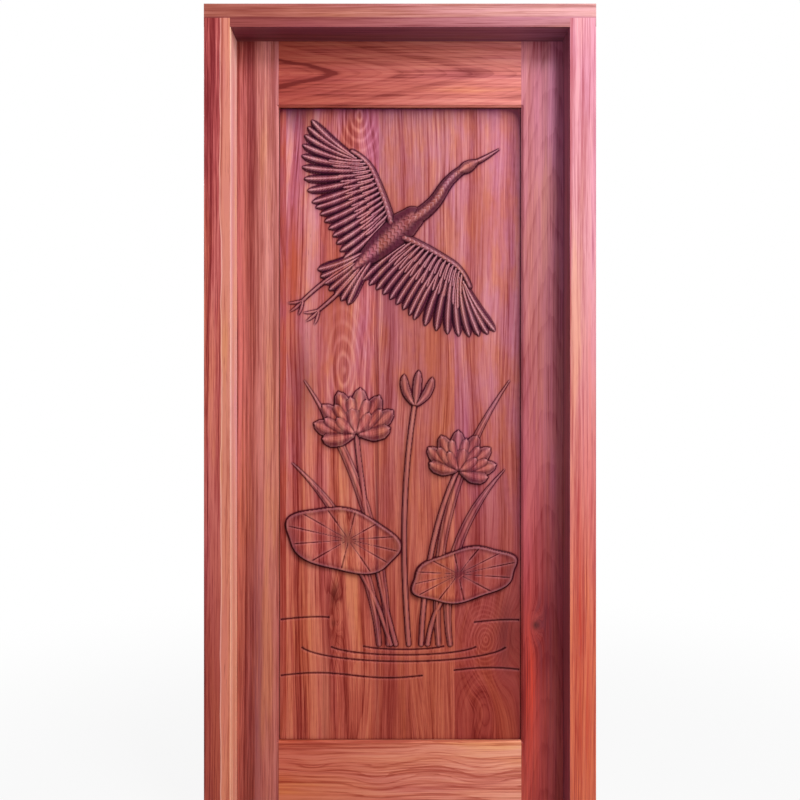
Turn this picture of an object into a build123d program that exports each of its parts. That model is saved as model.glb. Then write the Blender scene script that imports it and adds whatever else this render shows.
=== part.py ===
from build123d import *
import cmath
import math
import os

# A carved panel door hung in its rebated timber frame, in millimetres. +Z is up and the carved face
# looks along -Y. The origin is on the floor, below the middle of the whole part.

# Leaf
leaf_width = 914.0
leaf_height = 2134.0
leaf_thickness = 45.0
stile_width = 125.0
top_rail_height = 190.0
bottom_rail_height = 209.0
opening_chamfer = 6.0

# Frame: jambs and head with a stop in front of the leaf
jamb_face = 70.0
head_face = 62.0
frame_depth = 140.0
stop_width = 14.0
housing_depth = 24.0
arris_radius = 1.5

# Gaps round the closed leaf
edge_gap = 3.0
floor_gap = 6.0
stop_gap = 1.0

# Wedged through tenons: one at each end of the top rail, a pair at each end of the bottom rail
tenon_thickness = 15.0
top_tenon_height = 100.0
top_tenon_inset = 45.0
bottom_tenon_height = 50.0
bottom_tenon_inset = 35.0
bottom_tenon_spacing = 45.0
wedge_length = 70.0
wedge_thickness = 6.0

# Panel: its ground lies behind the face of the leaf, and its tongue runs in a groove
ground_sink = 10.0
back_sink = 8.0
panel_gap = 1.5
tongue_thickness = 12.0
tongue_reach = 10.0
tongue_clearance = 0.2
groove_play = 2.0

# Butt hinges, let in flush, with the barrel behind the leaf
hinge_names = ("lower", "middle", "upper")
hinge_height = 100.0
hinge_bottom_inset = 290.0
hinge_top_inset = 260.0
plate_depth = 32.0
plate_thickness = 3.0
barrel_radius = 6.5
barrel_stand = 1.0
knuckle_count = 5
knuckle_gap = 0.3
pin_radius = 3.0
pin_clearance = 0.05
pin_head_radius = 5.0
pin_head_height = 3.0

# Countersunk screws: in the hinge plates, and down through the head into the jambs
plate_screw_radius = 2.2
plate_screw_head_radius = 4.4
plate_screw_length = 35.0
plate_screw_slot = 1.0
plate_screw_height_shares = (-0.38, -0.13, 0.13, 0.38)
plate_screw_depth_shares = (0.35, 0.7, 0.35, 0.7)
head_screw_radius = 3.0
head_screw_head_radius = 6.0
head_screw_length = 90.0
head_screw_slot = 1.4
head_screw_depth_shares = (0.3, 0.7)
screw_point_share = 0.2
screw_slot_depth_share = 0.5
screw_clearance = 0.1

# Wall fixings: sunk bores through each jamb, behind the closed leaf
fixing_count = 4
fixing_first_height = 400.0
fixing_pitch = 450.0
fixing_bore_radius = 5.25
fixing_sink_radius = 9.0
fixing_sink_depth = 8.0

# How far a cut runs past what it cuts, and how deep a carved form is rooted in the panel
cut_overrun = 5.0
relief_root = 3.0

# Crane: lines and places are shares of its reach, ahead and to its left, from a point between its shoulders
crane_reach = 395.0
crane_heading = 41
crane_place_shares = (-0.021, 0.802)
wing_arm_shares = ((0.02, 0.06), (0.1, 0.22), (0.155, 0.4))
wing_hand_shares = ((0.155, 0.4), (0.19, 0.5), (0.145, 0.62))
wing_wrist_share = 0.6
wing_front_steps = 10
arm_radius = 12.0
arm_crown = 15.0
hand_radius = 7.0
hand_crown = 11.0

# Feathers: long ones from hand and arm, two rows of coverts, and the tail
wing_feathers = 9
feather_width = 26.0
feather_crown = 9.0
feather_tip_crown = 5.5
feather_edge = 4.5
feather_tip_edge = 2.8
feather_bow_share = 0.035
feather_run_shares = (0.0, 0.4, 0.75, 1.0)
feather_width_shares = (0.52, 0.9, 1.0, 0.12)
hand_root_shares = ((0.13, 0.59), (0.15, 0.5), (0.115, 0.39))
hand_length_shares = (0.38, 0.45, 0.43)
hand_angles = (8, 70)
arm_root_shares = ((0.115, 0.36), (0.08, 0.22), (-0.03, 0.07))
arm_length_shares = (0.43, 0.4, 0.37)
arm_angles = (72, 94)
wing_coverts = 14
covert_front_shares = (0.84, 0.12)
covert_angles = (44, 90)
covert_width = 23.0
covert_rise = 1.7
covert_back_share = 0.035
covert_length_shares = (0.215, 0.2, 0.183)
small_covert_width = 19.0
small_covert_rise = 3.7
small_covert_back_share = 0.015
small_length_shares = (0.125, 0.116, 0.106)
tail_feathers = 7
tail_angle = 26
tail_feather_width = 30.0
tail_root_share = -0.27
tail_root_spread_share = 0.1
tail_length_share = 0.33
tail_spread_share = 0.36

# Body, neck, head and legs of the crane
body_half_width = 41.0
body_crown = 17.0
body_edge = 3.0
body_line_shares = ((0.16, 0), (-0.12, 0), (-0.42, 0))
body_run_shares = (0.0, 0.16, 0.33, 0.5, 0.67, 0.84, 1.0)
body_width_shares = (0.74, 0.97, 1.0, 0.9, 0.68, 0.4, 0.06)
body_crown_shares = (0.92, 0.98, 1.0, 0.97, 0.88, 0.72, 0.5)
neck_radius = 21.0
neck_crown = 17.0
neck_line_shares = ((0.1, 0), (0.3, -0.045), (0.42, 0))
throat_radius = 10.5
throat_crown = 12.0
throat_line_shares = ((0.42, 0), (0.54, 0.045), (0.66, 0.02))
head_radius = 15.0
head_crown = 14.5
head_line_shares = ((0.62, 0.025), (0.68, 0.02), (0.75, 0))
head_width_shares = (0.42, 0.82, 1.0, 0.98, 0.76, 0.4)
beak_width = 13.0
beak_crown = 11.0
beak_tip_crown = 6.0
beak_edge = 2.5
beak_end_shares = ((0.735, 0.004), (0.93, -0.035))
beak_bow_share = -0.02
beak_width_shares = (0.95, 0.9, 0.7, 0.42, 0.12)
leg_radius = 5.5
leg_crown = 8.0
ankle_radius = 3.6
ankle_crown = 5.0
left_leg_shares = ((-0.36, 0.035), (-0.56, 0.077), (-0.79, 0.067))
right_leg_shares = ((-0.36, -0.03), (-0.56, -0.066), (-0.75, -0.057))
toe_width = 7.0
toe_tip_crown = 3.0
toe_edge = 1.5
toe_bow_share = 0.05
toe_step_shares = ((-0.092, -0.055), (-0.12, 0), (-0.092, 0.055))
tube_run_shares = (0.0, 0.2, 0.4, 0.6, 0.8, 1.0)
tube_edge = 0.6

# Pond: places are shares of the opening, across from its middle and up from its foot
pond_foot_shares = (0.015, 0.151)
blade_run_shares = (0.0, 0.25, 0.5, 0.75, 1.0)
blade_width_shares = (0.52, 0.9, 1.0, 0.8, 0.08)
reed_width = 23.0
reed_crown = 5.0
reed_tip_crown = 3.6
reed_edge = 2.0
reed_foot_shares = (-0.102, -0.063, 0.144, 0.192)
reed_tip_shares = ((-0.446, 0.438), (-0.395, 0.568), (0.452, 0.568), (0.431, 0.427))
reed_bow_shares = (-0.1, -0.07, 0.09, 0.12)
stem_radius = 6.0
stem_crown = 5.0
stem_foot_shares = (-0.033, 0.072, 0.021, -0.054, 0.099)
stem_bend_shares = ((-0.143, 0.323), (0.105, 0.323), (-0.012, 0.369), (-0.105, 0.242), (0.136, 0.219))
stem_top_shares = ((-0.181, 0.485), (0.241, 0.428), (0.063, 0.536), (-0.248, 0.314), (0.259, 0.261))
leaf_hub_height = 6.0
leaf_rim_height = 9.5
leaf_rim_wave = 1.2
leaf_wave_share = 0.045
leaf_facets = 30
left_leaf_length = 316.0
left_leaf_breadth = 168.0
left_leaf_tilt = -13
left_leaf_place_shares = (-0.238, 0.316)
left_leaf_hub_shares = (0.05, 0.03)
right_leaf_length = 292.0
right_leaf_breadth = 140.0
right_leaf_tilt = 12
right_leaf_place_shares = (0.265, 0.261)
right_leaf_hub_shares = (-0.05, 0.04)

# Flowers: three rows of petals each, leaning from upright, and one bud
left_flower_size = 128.0
left_flower_lean = -9
left_flower_place_shares = (-0.181, 0.483)
right_flower_size = 112.0
right_flower_lean = 14
right_flower_place_shares = (0.241, 0.425)
petal_crown = 9.5
petal_edge = 5.2
petal_tip_drop = 1.5
petal_row_rise = 2.1
petal_width_shares = (0.38, 0.96, 0.9, 0.1)
petal_root_share = 0.1
petal_droop_share = 0.1
petal_bow_share = 0.05
petal_row_angles = ((-66, -40, -14, 14, 40, 66), (-88, -54, -26, 0, 26, 54, 88), (-40, 0, 40))
petal_row_length_shares = (1.0, 0.8, 0.56)
petal_row_width_shares = (0.37, 0.37, 0.39)
bud_length = 92.0
bud_petal_width = 23.0
bud_root_step = 4.7
bud_lean = 6
bud_place_shares = (0.063, 0.531)
bud_angles = (-24, 0, 24)
bud_bow_share = 0.1

# Ripples: rings about the pond's foot and swells towards the panel's sides
ripple_half_width = 3.2
ripple_depth = 2.6
ripple_steps = 12
ring_shares = ((0.181, 0.0086), (0.309, 0.0173), (0.429, 0.0277))
ring_angles = ((205, 335), (196, 344), (192, 348))
swell_height = 7.0
swell_run_share = 0.59
swell_span_shares = ((-0.49, -0.295), (0.31, 0.49), (-0.49, 0.09), (0.226, 0.49))
swell_up_shares = (0.19, 0.1856, 0.1014, 0.1095)

# Places worked out from the sizes above
barrel_offset = barrel_stand + barrel_radius
front_y = -(frame_depth + barrel_offset + barrel_radius) / 2
back_y = front_y + frame_depth
leaf_front_y = back_y - leaf_thickness
leaf_middle_y = back_y - leaf_thickness / 2
rebate_y = leaf_front_y - stop_gap
ground_y = leaf_front_y + ground_sink
panel_back_y = back_y - back_sink
leaf_edge_x = leaf_width / 2
rebate_x = leaf_edge_x + edge_gap
stop_x = rebate_x - stop_width
outer_x = stop_x + jamb_face
leaf_foot_z = floor_gap
leaf_top_z = leaf_foot_z + leaf_height
rebate_z = leaf_top_z + edge_gap
stop_z = rebate_z - stop_width
head_top_z = stop_z + head_face
jamb_top_z = stop_z + housing_depth
opening_width = leaf_width - 2 * stile_width
opening_height = leaf_height - top_rail_height - bottom_rail_height
opening_foot_z = leaf_foot_z + bottom_rail_height
opening_top_z = opening_foot_z + opening_height
groove_reach = tongue_reach + groove_play
hinge_axis_x = -(leaf_edge_x + rebate_x) / 2
hinge_axis_y = back_y + barrel_offset
lowest_hinge_z = leaf_foot_z + hinge_bottom_inset
highest_hinge_z = leaf_top_z - hinge_top_inset
hinge_pitch = (highest_hinge_z - lowest_hinge_z) / (len(hinge_names) - 1)
hinge_heights = [lowest_hinge_z + hinge_pitch * place for place in range(len(hinge_names))]
knuckle_height = hinge_height / knuckle_count
fixing_y = (rebate_y + back_y) / 2
fixing_heights = [fixing_first_height + fixing_pitch * place for place in range(fixing_count)]
head_screw_x = (rebate_x + outer_x) / 2
head_screw_ys = [front_y + frame_depth * share for share in head_screw_depth_shares]
head_screw_places = [(side * head_screw_x, y) for side in (-1, 1) for y in head_screw_ys]


def block(x_span, y_span, z_span):
    """A box between two places along each axis."""
    spans = (x_span, y_span, z_span)
    sizes = [high - low for low, high in spans]
    middles = [(high + low) / 2 for low, high in spans]
    return Pos(*middles) * Box(*sizes)


def rod(foot, direction, radius, length):
    """A cylinder that starts at a foot point and runs along a direction."""
    return extrude(Plane(origin=foot, z_dir=direction) * Circle(radius), amount=length)


def upright(y):
    """A plane that faces the front: across is its first axis and up is its second."""
    return Plane(origin=(0, y, 0), x_dir=(1, 0, 0), z_dir=(0, -1, 0))


def all_of(pieces):
    """Separate pieces of one kind in one group."""
    return Compound(children=list(pieces))


# Screws


def screw(place, direction, radius, head_radius, length, slot_width):
    """A countersunk wood screw: its flat head lies at the place, and its point lies along the direction."""
    cone = head_radius - radius
    point = length * screw_point_share
    shank_end = (radius, length - point)
    half = Polyline((0, 0), (head_radius, 0), (radius, cone), shank_end, (0, length), close=True)
    body = revolve(Plane.XZ * make_face(half), axis=Axis.Z)
    slot_depth = cone * screw_slot_depth_share
    slot = Box(2 * head_radius, slot_width, 2 * slot_depth)
    return Plane(origin=place, z_dir=direction).location * (body - slot)


def screw_room(place, direction, radius, head_radius, length):
    """The countersunk hole that takes such a screw, a little wider all round."""
    cone = head_radius - radius
    wide = radius + screw_clearance
    deep = length + screw_clearance
    half = Polyline((0, 0), (wide + cone, 0), (wide, cone), (wide, deep), (0, deep), close=True)
    return Plane(origin=place, z_dir=direction).location * revolve(Plane.XZ * make_face(half), axis=Axis.Z)


def plate_screw_places(side, hinge_z):
    """Where the heads of a plate's screws lie: side -1 is the jamb's plate and side 1 the leaf's."""
    face_x = -rebate_x if side < 0 else -leaf_edge_x
    ys = [back_y - plate_depth * share for share in plate_screw_depth_shares]
    zs = [hinge_z + hinge_height * share for share in plate_screw_height_shares]
    return [(face_x, y, z) for y, z in zip(ys, zs)]


def plate_screws(side):
    """Every screw of the plates on one side of the hinges."""
    sizes = (plate_screw_radius, plate_screw_head_radius, plate_screw_length, plate_screw_slot)
    return [screw(p, (side, 0, 0), *sizes) for z in hinge_heights for p in plate_screw_places(side, z)]


def plate_screw_rooms(side):
    """The holes for those screws, in the plates and in the timber behind them."""
    sizes = (plate_screw_radius, plate_screw_head_radius, plate_screw_length)
    return [screw_room(p, (side, 0, 0), *sizes) for z in hinge_heights for p in plate_screw_places(side, z)]


def head_screws():
    """The screws that hold the head down on the jambs."""
    sizes = (head_screw_radius, head_screw_head_radius, head_screw_length, head_screw_slot)
    return [screw((x, y, head_top_z), (0, 0, -1), *sizes) for x, y in head_screw_places]


def head_screw_rooms():
    """The holes for those screws, in the head and in the jambs."""
    sizes = (head_screw_radius, head_screw_head_radius, head_screw_length)
    return [screw_room((x, y, head_top_z), (0, 0, -1), *sizes) for x, y in head_screw_places]


# Hinges


def plate_block(side, hinge_z):
    """The flat plate of a hinge, which lies flush in the jamb (side -1) or in the leaf's edge (side 1)."""
    face_x = -rebate_x if side < 0 else -leaf_edge_x
    x_span = sorted((face_x, face_x + side * plate_thickness))
    z_span = (hinge_z - hinge_height / 2, hinge_z + hinge_height / 2)
    return block(x_span, (back_y - plate_depth, back_y), z_span)


def hinge_plate(side, hinge_z):
    """A plate with its knuckles: the jamb's plate has the odd ones, the leaf's plate the even ones."""
    face_x = -rebate_x if side < 0 else -leaf_edge_x
    x_span = sorted((face_x, face_x + side * plate_thickness))
    foot_z = hinge_z - hinge_height / 2
    plate = plate_block(side, hinge_z)
    for number in range(0 if side < 0 else 1, knuckle_count, 2):
        low = foot_z + number * knuckle_height + knuckle_gap / 2
        high = low + knuckle_height - knuckle_gap
        plate += block(x_span, (back_y - plate_thickness, hinge_axis_y), (low, high))
        plate += rod((hinge_axis_x, hinge_axis_y, low), (0, 0, 1), barrel_radius, high - low)
    bore_foot = (hinge_axis_x, hinge_axis_y, foot_z - cut_overrun)
    plate -= rod(bore_foot, (0, 0, 1), pin_radius + pin_clearance, hinge_height + 2 * cut_overrun)
    sizes = (plate_screw_radius, plate_screw_head_radius, plate_screw_length)
    for place in plate_screw_places(side, hinge_z):
        plate -= screw_room(place, (side, 0, 0), *sizes)
    return plate


def hinge_pin(hinge_z):
    """A pin that fills the barrel and hangs from its head on the top knuckle."""
    foot_z = hinge_z - hinge_height / 2 + knuckle_gap / 2
    length = hinge_height - knuckle_gap
    shank = rod((hinge_axis_x, hinge_axis_y, foot_z), (0, 0, 1), pin_radius, length)
    cap = rod((hinge_axis_x, hinge_axis_y, foot_z + length), (0, 0, 1), pin_head_radius, pin_head_height)
    rim = cap.edges().filter_by(GeomType.CIRCLE).sort_by(Axis.Z)[-1]
    return shank + fillet(rim, pin_head_height / 2)


# Frame


def jamb(side):
    """A jamb: a stop with rounded arrises, a rebate for the leaf, and bores for the wall fixings."""
    post = block(sorted((side * stop_x, side * outer_x)), (front_y, back_y), (0, jamb_top_z))
    rebate_span = sorted((side * (stop_x - cut_overrun), side * rebate_x))
    post -= block(rebate_span, (rebate_y, back_y + cut_overrun), (-cut_overrun, jamb_top_z + cut_overrun))
    post = fillet(post.edges().filter_by(Axis.Z).sort_by(Axis.Y)[:2], arris_radius)
    for height in fixing_heights:
        foot = (side * rebate_x, fixing_y, height)
        post -= rod(foot, (side, 0, 0), fixing_bore_radius, outer_x - rebate_x)
        post -= rod(foot, (side, 0, 0), fixing_sink_radius, fixing_sink_depth)
    return post


def hinge_jamb():
    """The jamb that carries the hinges."""
    post = jamb(-1)
    for height in hinge_heights:
        post -= plate_block(-1, height)
    for room in plate_screw_rooms(-1) + head_screw_rooms():
        post -= room
    return post


def closing_jamb():
    """The jamb that the leaf closes against."""
    post = jamb(1)
    for room in head_screw_rooms():
        post -= room
    return post


def frame_head():
    """The head of the frame, rebated like the jambs and housed over their tops."""
    beam = block((-outer_x, outer_x), (front_y, back_y), (stop_z, head_top_z))
    beam = fillet(beam.edges().filter_by(Axis.X).sort_by(Axis.Y)[:2], arris_radius)
    rebate_span = (stop_z - cut_overrun, rebate_z)
    beam -= block((-rebate_x, rebate_x), (rebate_y, back_y + cut_overrun), rebate_span)
    beam -= jamb(-1)
    beam -= jamb(1)
    for room in head_screw_rooms():
        beam -= room
    return beam


# Leaf: stiles, rails and wedges


def top_tenon_spans():
    """The height of the top rail's tenon, as one span in a list."""
    top = leaf_top_z - top_tenon_inset
    return [(top - top_tenon_height, top)]


def bottom_tenon_spans():
    """The heights of the bottom rail's two tenons."""
    first = leaf_foot_z + bottom_tenon_inset
    second = first + bottom_tenon_height + bottom_tenon_spacing
    return [(foot, foot + bottom_tenon_height) for foot in (first, second)]


def tenon_y_span():
    """The depth of every tenon, in the middle of the leaf's thickness."""
    return (leaf_middle_y - tenon_thickness / 2, leaf_middle_y + tenon_thickness / 2)


def wedges(spans):
    """A pair of wedges above and below each tenon, driven in from the leaf's two edges."""
    near_y, far_y = tenon_y_span()
    pieces = []
    for low, high in spans:
        for edge_z, rise in ((low, -wedge_thickness), (high, wedge_thickness)):
            for side in (-1, 1):
                thick_end = (side * leaf_edge_x, edge_z + rise)
                thin_end = (side * (leaf_edge_x - wedge_length), edge_z)
                outline = Polyline((side * leaf_edge_x, edge_z), thick_end, thin_end, close=True)
                pieces.append(extrude(upright(far_y) * make_face(outline), amount=far_y - near_y))
    return pieces


def panel_groove():
    """The room that the panel's tongue runs in, all round the opening."""
    half_thickness = tongue_thickness / 2 + tongue_clearance
    return block(
        (-opening_width / 2 - groove_reach, opening_width / 2 + groove_reach),
        (leaf_middle_y - half_thickness, leaf_middle_y + half_thickness),
        (opening_foot_z - groove_reach, opening_top_z + groove_reach),
    )


def opening_bevel():
    """The room inside the chamfer that runs round the front of the opening."""
    middle_z = (opening_foot_z + opening_top_z) / 2
    rise = opening_chamfer + cut_overrun
    small = Pos(0, middle_z) * Rectangle(opening_width, opening_height)
    large = Pos(0, middle_z) * Rectangle(opening_width + 2 * rise, opening_height + 2 * rise)
    near = upright(leaf_front_y - cut_overrun) * large
    far = upright(leaf_front_y + opening_chamfer) * small
    return loft([far, near], ruled=True)


def stile(side):
    """An upright of the leaf, with its groove, its chamfer and its mortises, which flare for the wedges."""
    inner_x = leaf_edge_x - stile_width
    x_span = sorted((side * inner_x, side * leaf_edge_x))
    post = block(x_span, (leaf_front_y, back_y), (leaf_foot_z, leaf_top_z))
    post -= panel_groove()
    post -= opening_bevel()
    mortise_span = sorted((side * (inner_x - cut_overrun), side * (leaf_edge_x + cut_overrun)))
    for z_span in top_tenon_spans() + bottom_tenon_spans():
        post -= block(mortise_span, tenon_y_span(), z_span)
    for wedge in wedges(top_tenon_spans() + bottom_tenon_spans()):
        post -= wedge
    return post


def hinge_stile():
    """The stile that hangs on the hinges."""
    post = stile(-1)
    for height in hinge_heights:
        post -= plate_block(1, height)
    for room in plate_screw_rooms(1):
        post -= room
    return post


def rail(z_span, tenon_spans):
    """A cross piece of the leaf, with tenons right through both stiles."""
    half_width = opening_width / 2
    beam = block((-half_width, half_width), (leaf_front_y, back_y), z_span)
    for span in tenon_spans:
        beam += block((-leaf_edge_x, leaf_edge_x), tenon_y_span(), span)
    beam -= panel_groove()
    beam -= opening_bevel()
    return beam


# Carving: a point on the panel's face is a complex number, across plus up times 1j


def on_panel(across_share, up_share):
    """A point at shares of the opening's width from its middle and of its height from its foot."""
    return complex(across_share * opening_width, opening_foot_z + up_share * opening_height)


def curve(start, bend, end, shares):
    """Points at shares of the run of a quadratic curve."""
    return [start * (1 - s) ** 2 + bend * 2 * s * (1 - s) + end * s ** 2 for s in shares]


def bowed(root, tip, bow_share, shares):
    """Points from root to tip on a curve that bows to its left by a share of its length."""
    return curve(root, (root + tip) / 2 + 2j * bow_share * (tip - root), tip, shares)


def blend(first, last, shares):
    """Values that go evenly from first to last."""
    return [first + (last - first) * share for share in shares]


def raised(point, height):
    """A point of the panel's face, lifted from its ground."""
    return Vector(point.real, ground_y - height, point.imag)


def closed_solid(polygons):
    """A solid inside flat faces, each given by its corners."""
    return Solid(Shell([Face(Wire.make_polygon(corners, close=True)) for corners in polygons]))


def flanks(spine, half_widths):
    """The two sides of a band along a spine."""
    last = len(spine) - 1
    runs = [spine[min(i + 1, last)] - spine[max(i - 1, 0)] for i in range(last + 1)]
    left = [p + 1j * run / abs(run) * half for p, run, half in zip(spine, runs, half_widths)]
    right = [p - 1j * run / abs(run) * half for p, run, half in zip(spine, runs, half_widths)]
    return left, right


def wall(first, second, first_height, second_height):
    """The corners of an upright face from the root of the carving to two heights."""
    foot = [raised(first, -relief_root), raised(second, -relief_root)]
    return foot + [raised(second, second_height), raised(first, first_height)]


def ridge(spine, half_widths, crowns, edges):
    """A carved ridge: upright at its edges, and sloping from both of them to a crown above its spine."""
    left, right = flanks(spine, half_widths)
    polygons = [[raised(p, -relief_root) for p in left + right[::-1]]]
    for i in range(len(spine) - 1):
        j = i + 1
        for side in (left, right):
            lower = raised(side[i], edges[i])
            crest = raised(spine[j], crowns[j])
            polygons.append(wall(side[i], side[j], edges[i], edges[j]))
            polygons.append([lower, raised(side[j], edges[j]), crest])
            polygons.append([lower, crest, raised(spine[i], crowns[i])])
    for i in (0, -1):
        end = [raised(left[i], edges[i]), raised(spine[i], crowns[i]), raised(right[i], edges[i])]
        polygons.append([raised(left[i], -relief_root)] + end + [raised(right[i], -relief_root)])
    return closed_solid(polygons)


def tube(spine, radii, crowns):
    """A round ridge that goes evenly from its first radius and crown to its last."""
    shares = [i / (len(spine) - 1) for i in range(len(spine))]
    return ridge(spine, blend(*radii, shares), blend(*crowns, shares), [tube_edge] * len(spine))


def fan(spines, half_widths, crowns, edges):
    """A row of ridges in one form: they meet in valleys, and the tip of each stands free."""
    last = len(crowns) - 1
    first_side = max(flanks(spines[0], half_widths), key=lambda side: abs(side[1] - spines[1][1]))
    last_side = max(flanks(spines[-1], half_widths), key=lambda side: abs(side[1] - spines[-2][1]))
    between = [[(a + b) / 2 for a, b in zip(one, other)] for one, other in zip(spines, spines[1:])]
    valleys = [first_side] + between + [last_side]
    polygons = []
    for spine, *sides in zip(spines, valleys, valleys[1:]):
        for side in sides:
            for i in range(last):
                lower = raised(side[i], edges[i])
                crest = raised(spine[i + 1], crowns[i + 1])
                polygons.append([lower, crest, raised(spine[i], crowns[i])])
                if i + 1 < last:
                    polygons.append([lower, raised(side[i + 1], edges[i + 1]), crest])
            polygons.append(wall(side[0], spine[0], edges[0], crowns[0]))
            polygons.append(wall(side[last - 1], spine[last], edges[last - 1], crowns[last]))
    for side in (first_side, last_side):
        for i in range(last - 1):
            polygons.append(wall(side[i], side[i + 1], edges[i], edges[i + 1]))
    outline = first_side[:last]
    for spine, valley in zip(spines, valleys[1:]):
        outline += [spine[last], valley[last - 1]]
    outline += last_side[:last - 1][::-1]
    for spine, valley in zip(spines[::-1], valleys[-2:0:-1] + [[]]):
        outline += [spine[0]] + valley[:1]
    polygons.append([raised(p, -relief_root) for p in outline])
    return closed_solid(polygons)


def feather_row(ends, bow_shares, width, rise):
    """Feathers side by side, each from its root to its tip, a rise above the lowest ones."""
    shares = feather_run_shares
    spines = [bowed(*root_and_tip, bow_share, shares) for root_and_tip, bow_share in zip(ends, bow_shares)]
    half_widths = [width / 2 * share for share in feather_width_shares]
    crowns = blend(feather_crown + rise, feather_tip_crown + rise, shares)
    edges = blend(feather_edge + rise, feather_tip_edge + rise, shares)
    return fan(spines, half_widths, crowns, edges)


def petal_row(ends, bow_shares, width, rise):
    """Petals side by side, each from its root to its tip, a rise above the lowest ones."""
    shares = feather_run_shares
    spines = [bowed(*root_and_tip, bow_share, shares) for root_and_tip, bow_share in zip(ends, bow_shares)]
    half_widths = [width / 2 * share for share in petal_width_shares]
    crowns = blend(petal_crown + rise, petal_crown - petal_tip_drop + rise, shares)
    edges = blend(petal_edge + rise, petal_edge - petal_tip_drop + rise, shares)
    return fan(spines, half_widths, crowns, edges)


def blade(root, tip, bow_share, width, crowns, edge, width_shares=blade_width_shares):
    """A slender pointed ridge, such as a reed, a toe or a beak."""
    shares = blade_run_shares
    spine = bowed(root, tip, bow_share, shares)
    half_widths = [width / 2 * share for share in width_shares]
    return ridge(spine, half_widths, blend(*crowns, shares), [edge] * len(shares))


def heading():
    """The direction in which the crane flies."""
    return cmath.exp(1j * math.radians(crane_heading))


def on_crane(ahead_share, aside_share):
    """A point at shares of the crane's reach, ahead of its shoulders and to its left."""
    return on_panel(*crane_place_shares) + crane_reach * heading() * complex(ahead_share, aside_share)


def crane_line(line_shares, run_shares, side=1):
    """Points of a curve that is drawn in shares of the crane's reach; side -1 is its mirror image."""
    return curve(*[on_crane(ahead, side * aside) for ahead, aside in line_shares], run_shares)


def trail(side, angle):
    """A direction from the crane: straight out to one side at 0 degrees, straight back at 90."""
    return heading() * 1j * side * cmath.exp(1j * side * math.radians(angle))


def even_shares(count):
    """So many shares from 0 to 1."""
    return [number / (count - 1) for number in range(count)]


def wing_front(side, shares):
    """Points of a wing's front edge at shares of its run, from the shoulder to the hand's tip."""
    points = []
    for share in shares:
        if share < wing_wrist_share:
            points += crane_line(wing_arm_shares, [share / wing_wrist_share], side)
        else:
            hand_share = (share - wing_wrist_share) / (1 - wing_wrist_share)
            points += crane_line(wing_hand_shares, [hand_share], side)
    return points


def wing_row(side, roots, length_shares, angles, width, rise):
    """A row of feathers that trail from their roots on a wing."""
    runs = even_shares(len(roots))
    lengths = curve(*length_shares, runs)
    turns = blend(*angles, runs)
    tips = [p + crane_reach * share * trail(side, turn) for p, share, turn in zip(roots, lengths, turns)]
    return feather_row(list(zip(roots, tips)), [side * feather_bow_share] * len(roots), width, rise)


def wing(side):
    """A spread wing: long feathers, two rows of coverts over them, and a round front edge."""
    hand_roots = crane_line(hand_root_shares, even_shares(wing_feathers), side)
    arm_roots = crane_line(arm_root_shares, even_shares(wing_feathers), side)
    fronts = wing_front(side, blend(*covert_front_shares, even_shares(wing_coverts)))
    covert_roots = [p + crane_reach * covert_back_share * trail(side, 90) for p in fronts]
    small_roots = [p + crane_reach * small_covert_back_share * trail(side, 90) for p in fronts]
    rows = (
        (hand_roots, hand_length_shares, hand_angles, feather_width, 0),
        (arm_roots, arm_length_shares, arm_angles, feather_width, 0),
        (covert_roots, covert_length_shares, covert_angles, covert_width, covert_rise),
        (small_roots, small_length_shares, covert_angles, small_covert_width, small_covert_rise),
    )
    edge = wing_front(side, even_shares(wing_front_steps + 1))
    front = tube(edge, (arm_radius, hand_radius), (arm_crown, hand_crown))
    return [wing_row(side, *row) for row in rows] + [front]


def crane_tail():
    """A short fan of feathers behind the body."""
    turns = blend(-1, 1, even_shares(tail_feathers))
    ends = []
    for turn in turns:
        angle = math.radians(tail_angle * turn)
        root = on_crane(tail_root_share, tail_root_spread_share * math.sin(angle))
        tip_share = tail_root_share - tail_length_share * math.cos(angle)
        ends.append((root, on_crane(tip_share, tail_spread_share * math.sin(angle))))
    return [feather_row(ends, [feather_bow_share * turn for turn in turns], tail_feather_width, 0)]


def crane_legs():
    """Two legs that trail behind the tail, each with three toes."""
    pieces = []
    for leg_shares in (left_leg_shares, right_leg_shares):
        spine = crane_line(leg_shares, tube_run_shares)
        pieces.append(tube(spine, (leg_radius, ankle_radius), (leg_crown, ankle_crown)))
        ankle = spine[-1]
        for step_shares in toe_step_shares:
            tip = ankle + crane_reach * heading() * complex(*step_shares)
            crowns = (ankle_crown, toe_tip_crown)
            pieces.append(blade(ankle, tip, toe_bow_share, toe_width, crowns, toe_edge))
    return pieces


def crane_body():
    """Body, curved neck, head and beak."""
    spine = crane_line(body_line_shares, body_run_shares)
    widths = [body_half_width * share for share in body_width_shares]
    crowns = [body_crown * share for share in body_crown_shares]
    body = ridge(spine, widths, crowns, [body_edge] * len(spine))
    throat = crane_line(throat_line_shares, tube_run_shares)
    neck_spine = crane_line(neck_line_shares, tube_run_shares) + throat[1:]
    neck = tube(neck_spine, (neck_radius, throat_radius), (neck_crown, throat_crown))
    skull = crane_line(head_line_shares, tube_run_shares)
    head_widths = [head_radius * share for share in head_width_shares]
    head = ridge(skull, head_widths, [head_crown] * len(skull), [tube_edge] * len(skull))
    root, tip = [on_crane(*end_shares) for end_shares in beak_end_shares]
    beak_crowns = (beak_crown, beak_tip_crown)
    beak = blade(root, tip, beak_bow_share, beak_width, beak_crowns, beak_edge, beak_width_shares)
    return [body, neck, head, beak]


def upwards(angle):
    """A direction on the panel's face: straight up at 0 degrees, across to the right at 90."""
    return cmath.exp(1j * math.radians(90 - angle))


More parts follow.
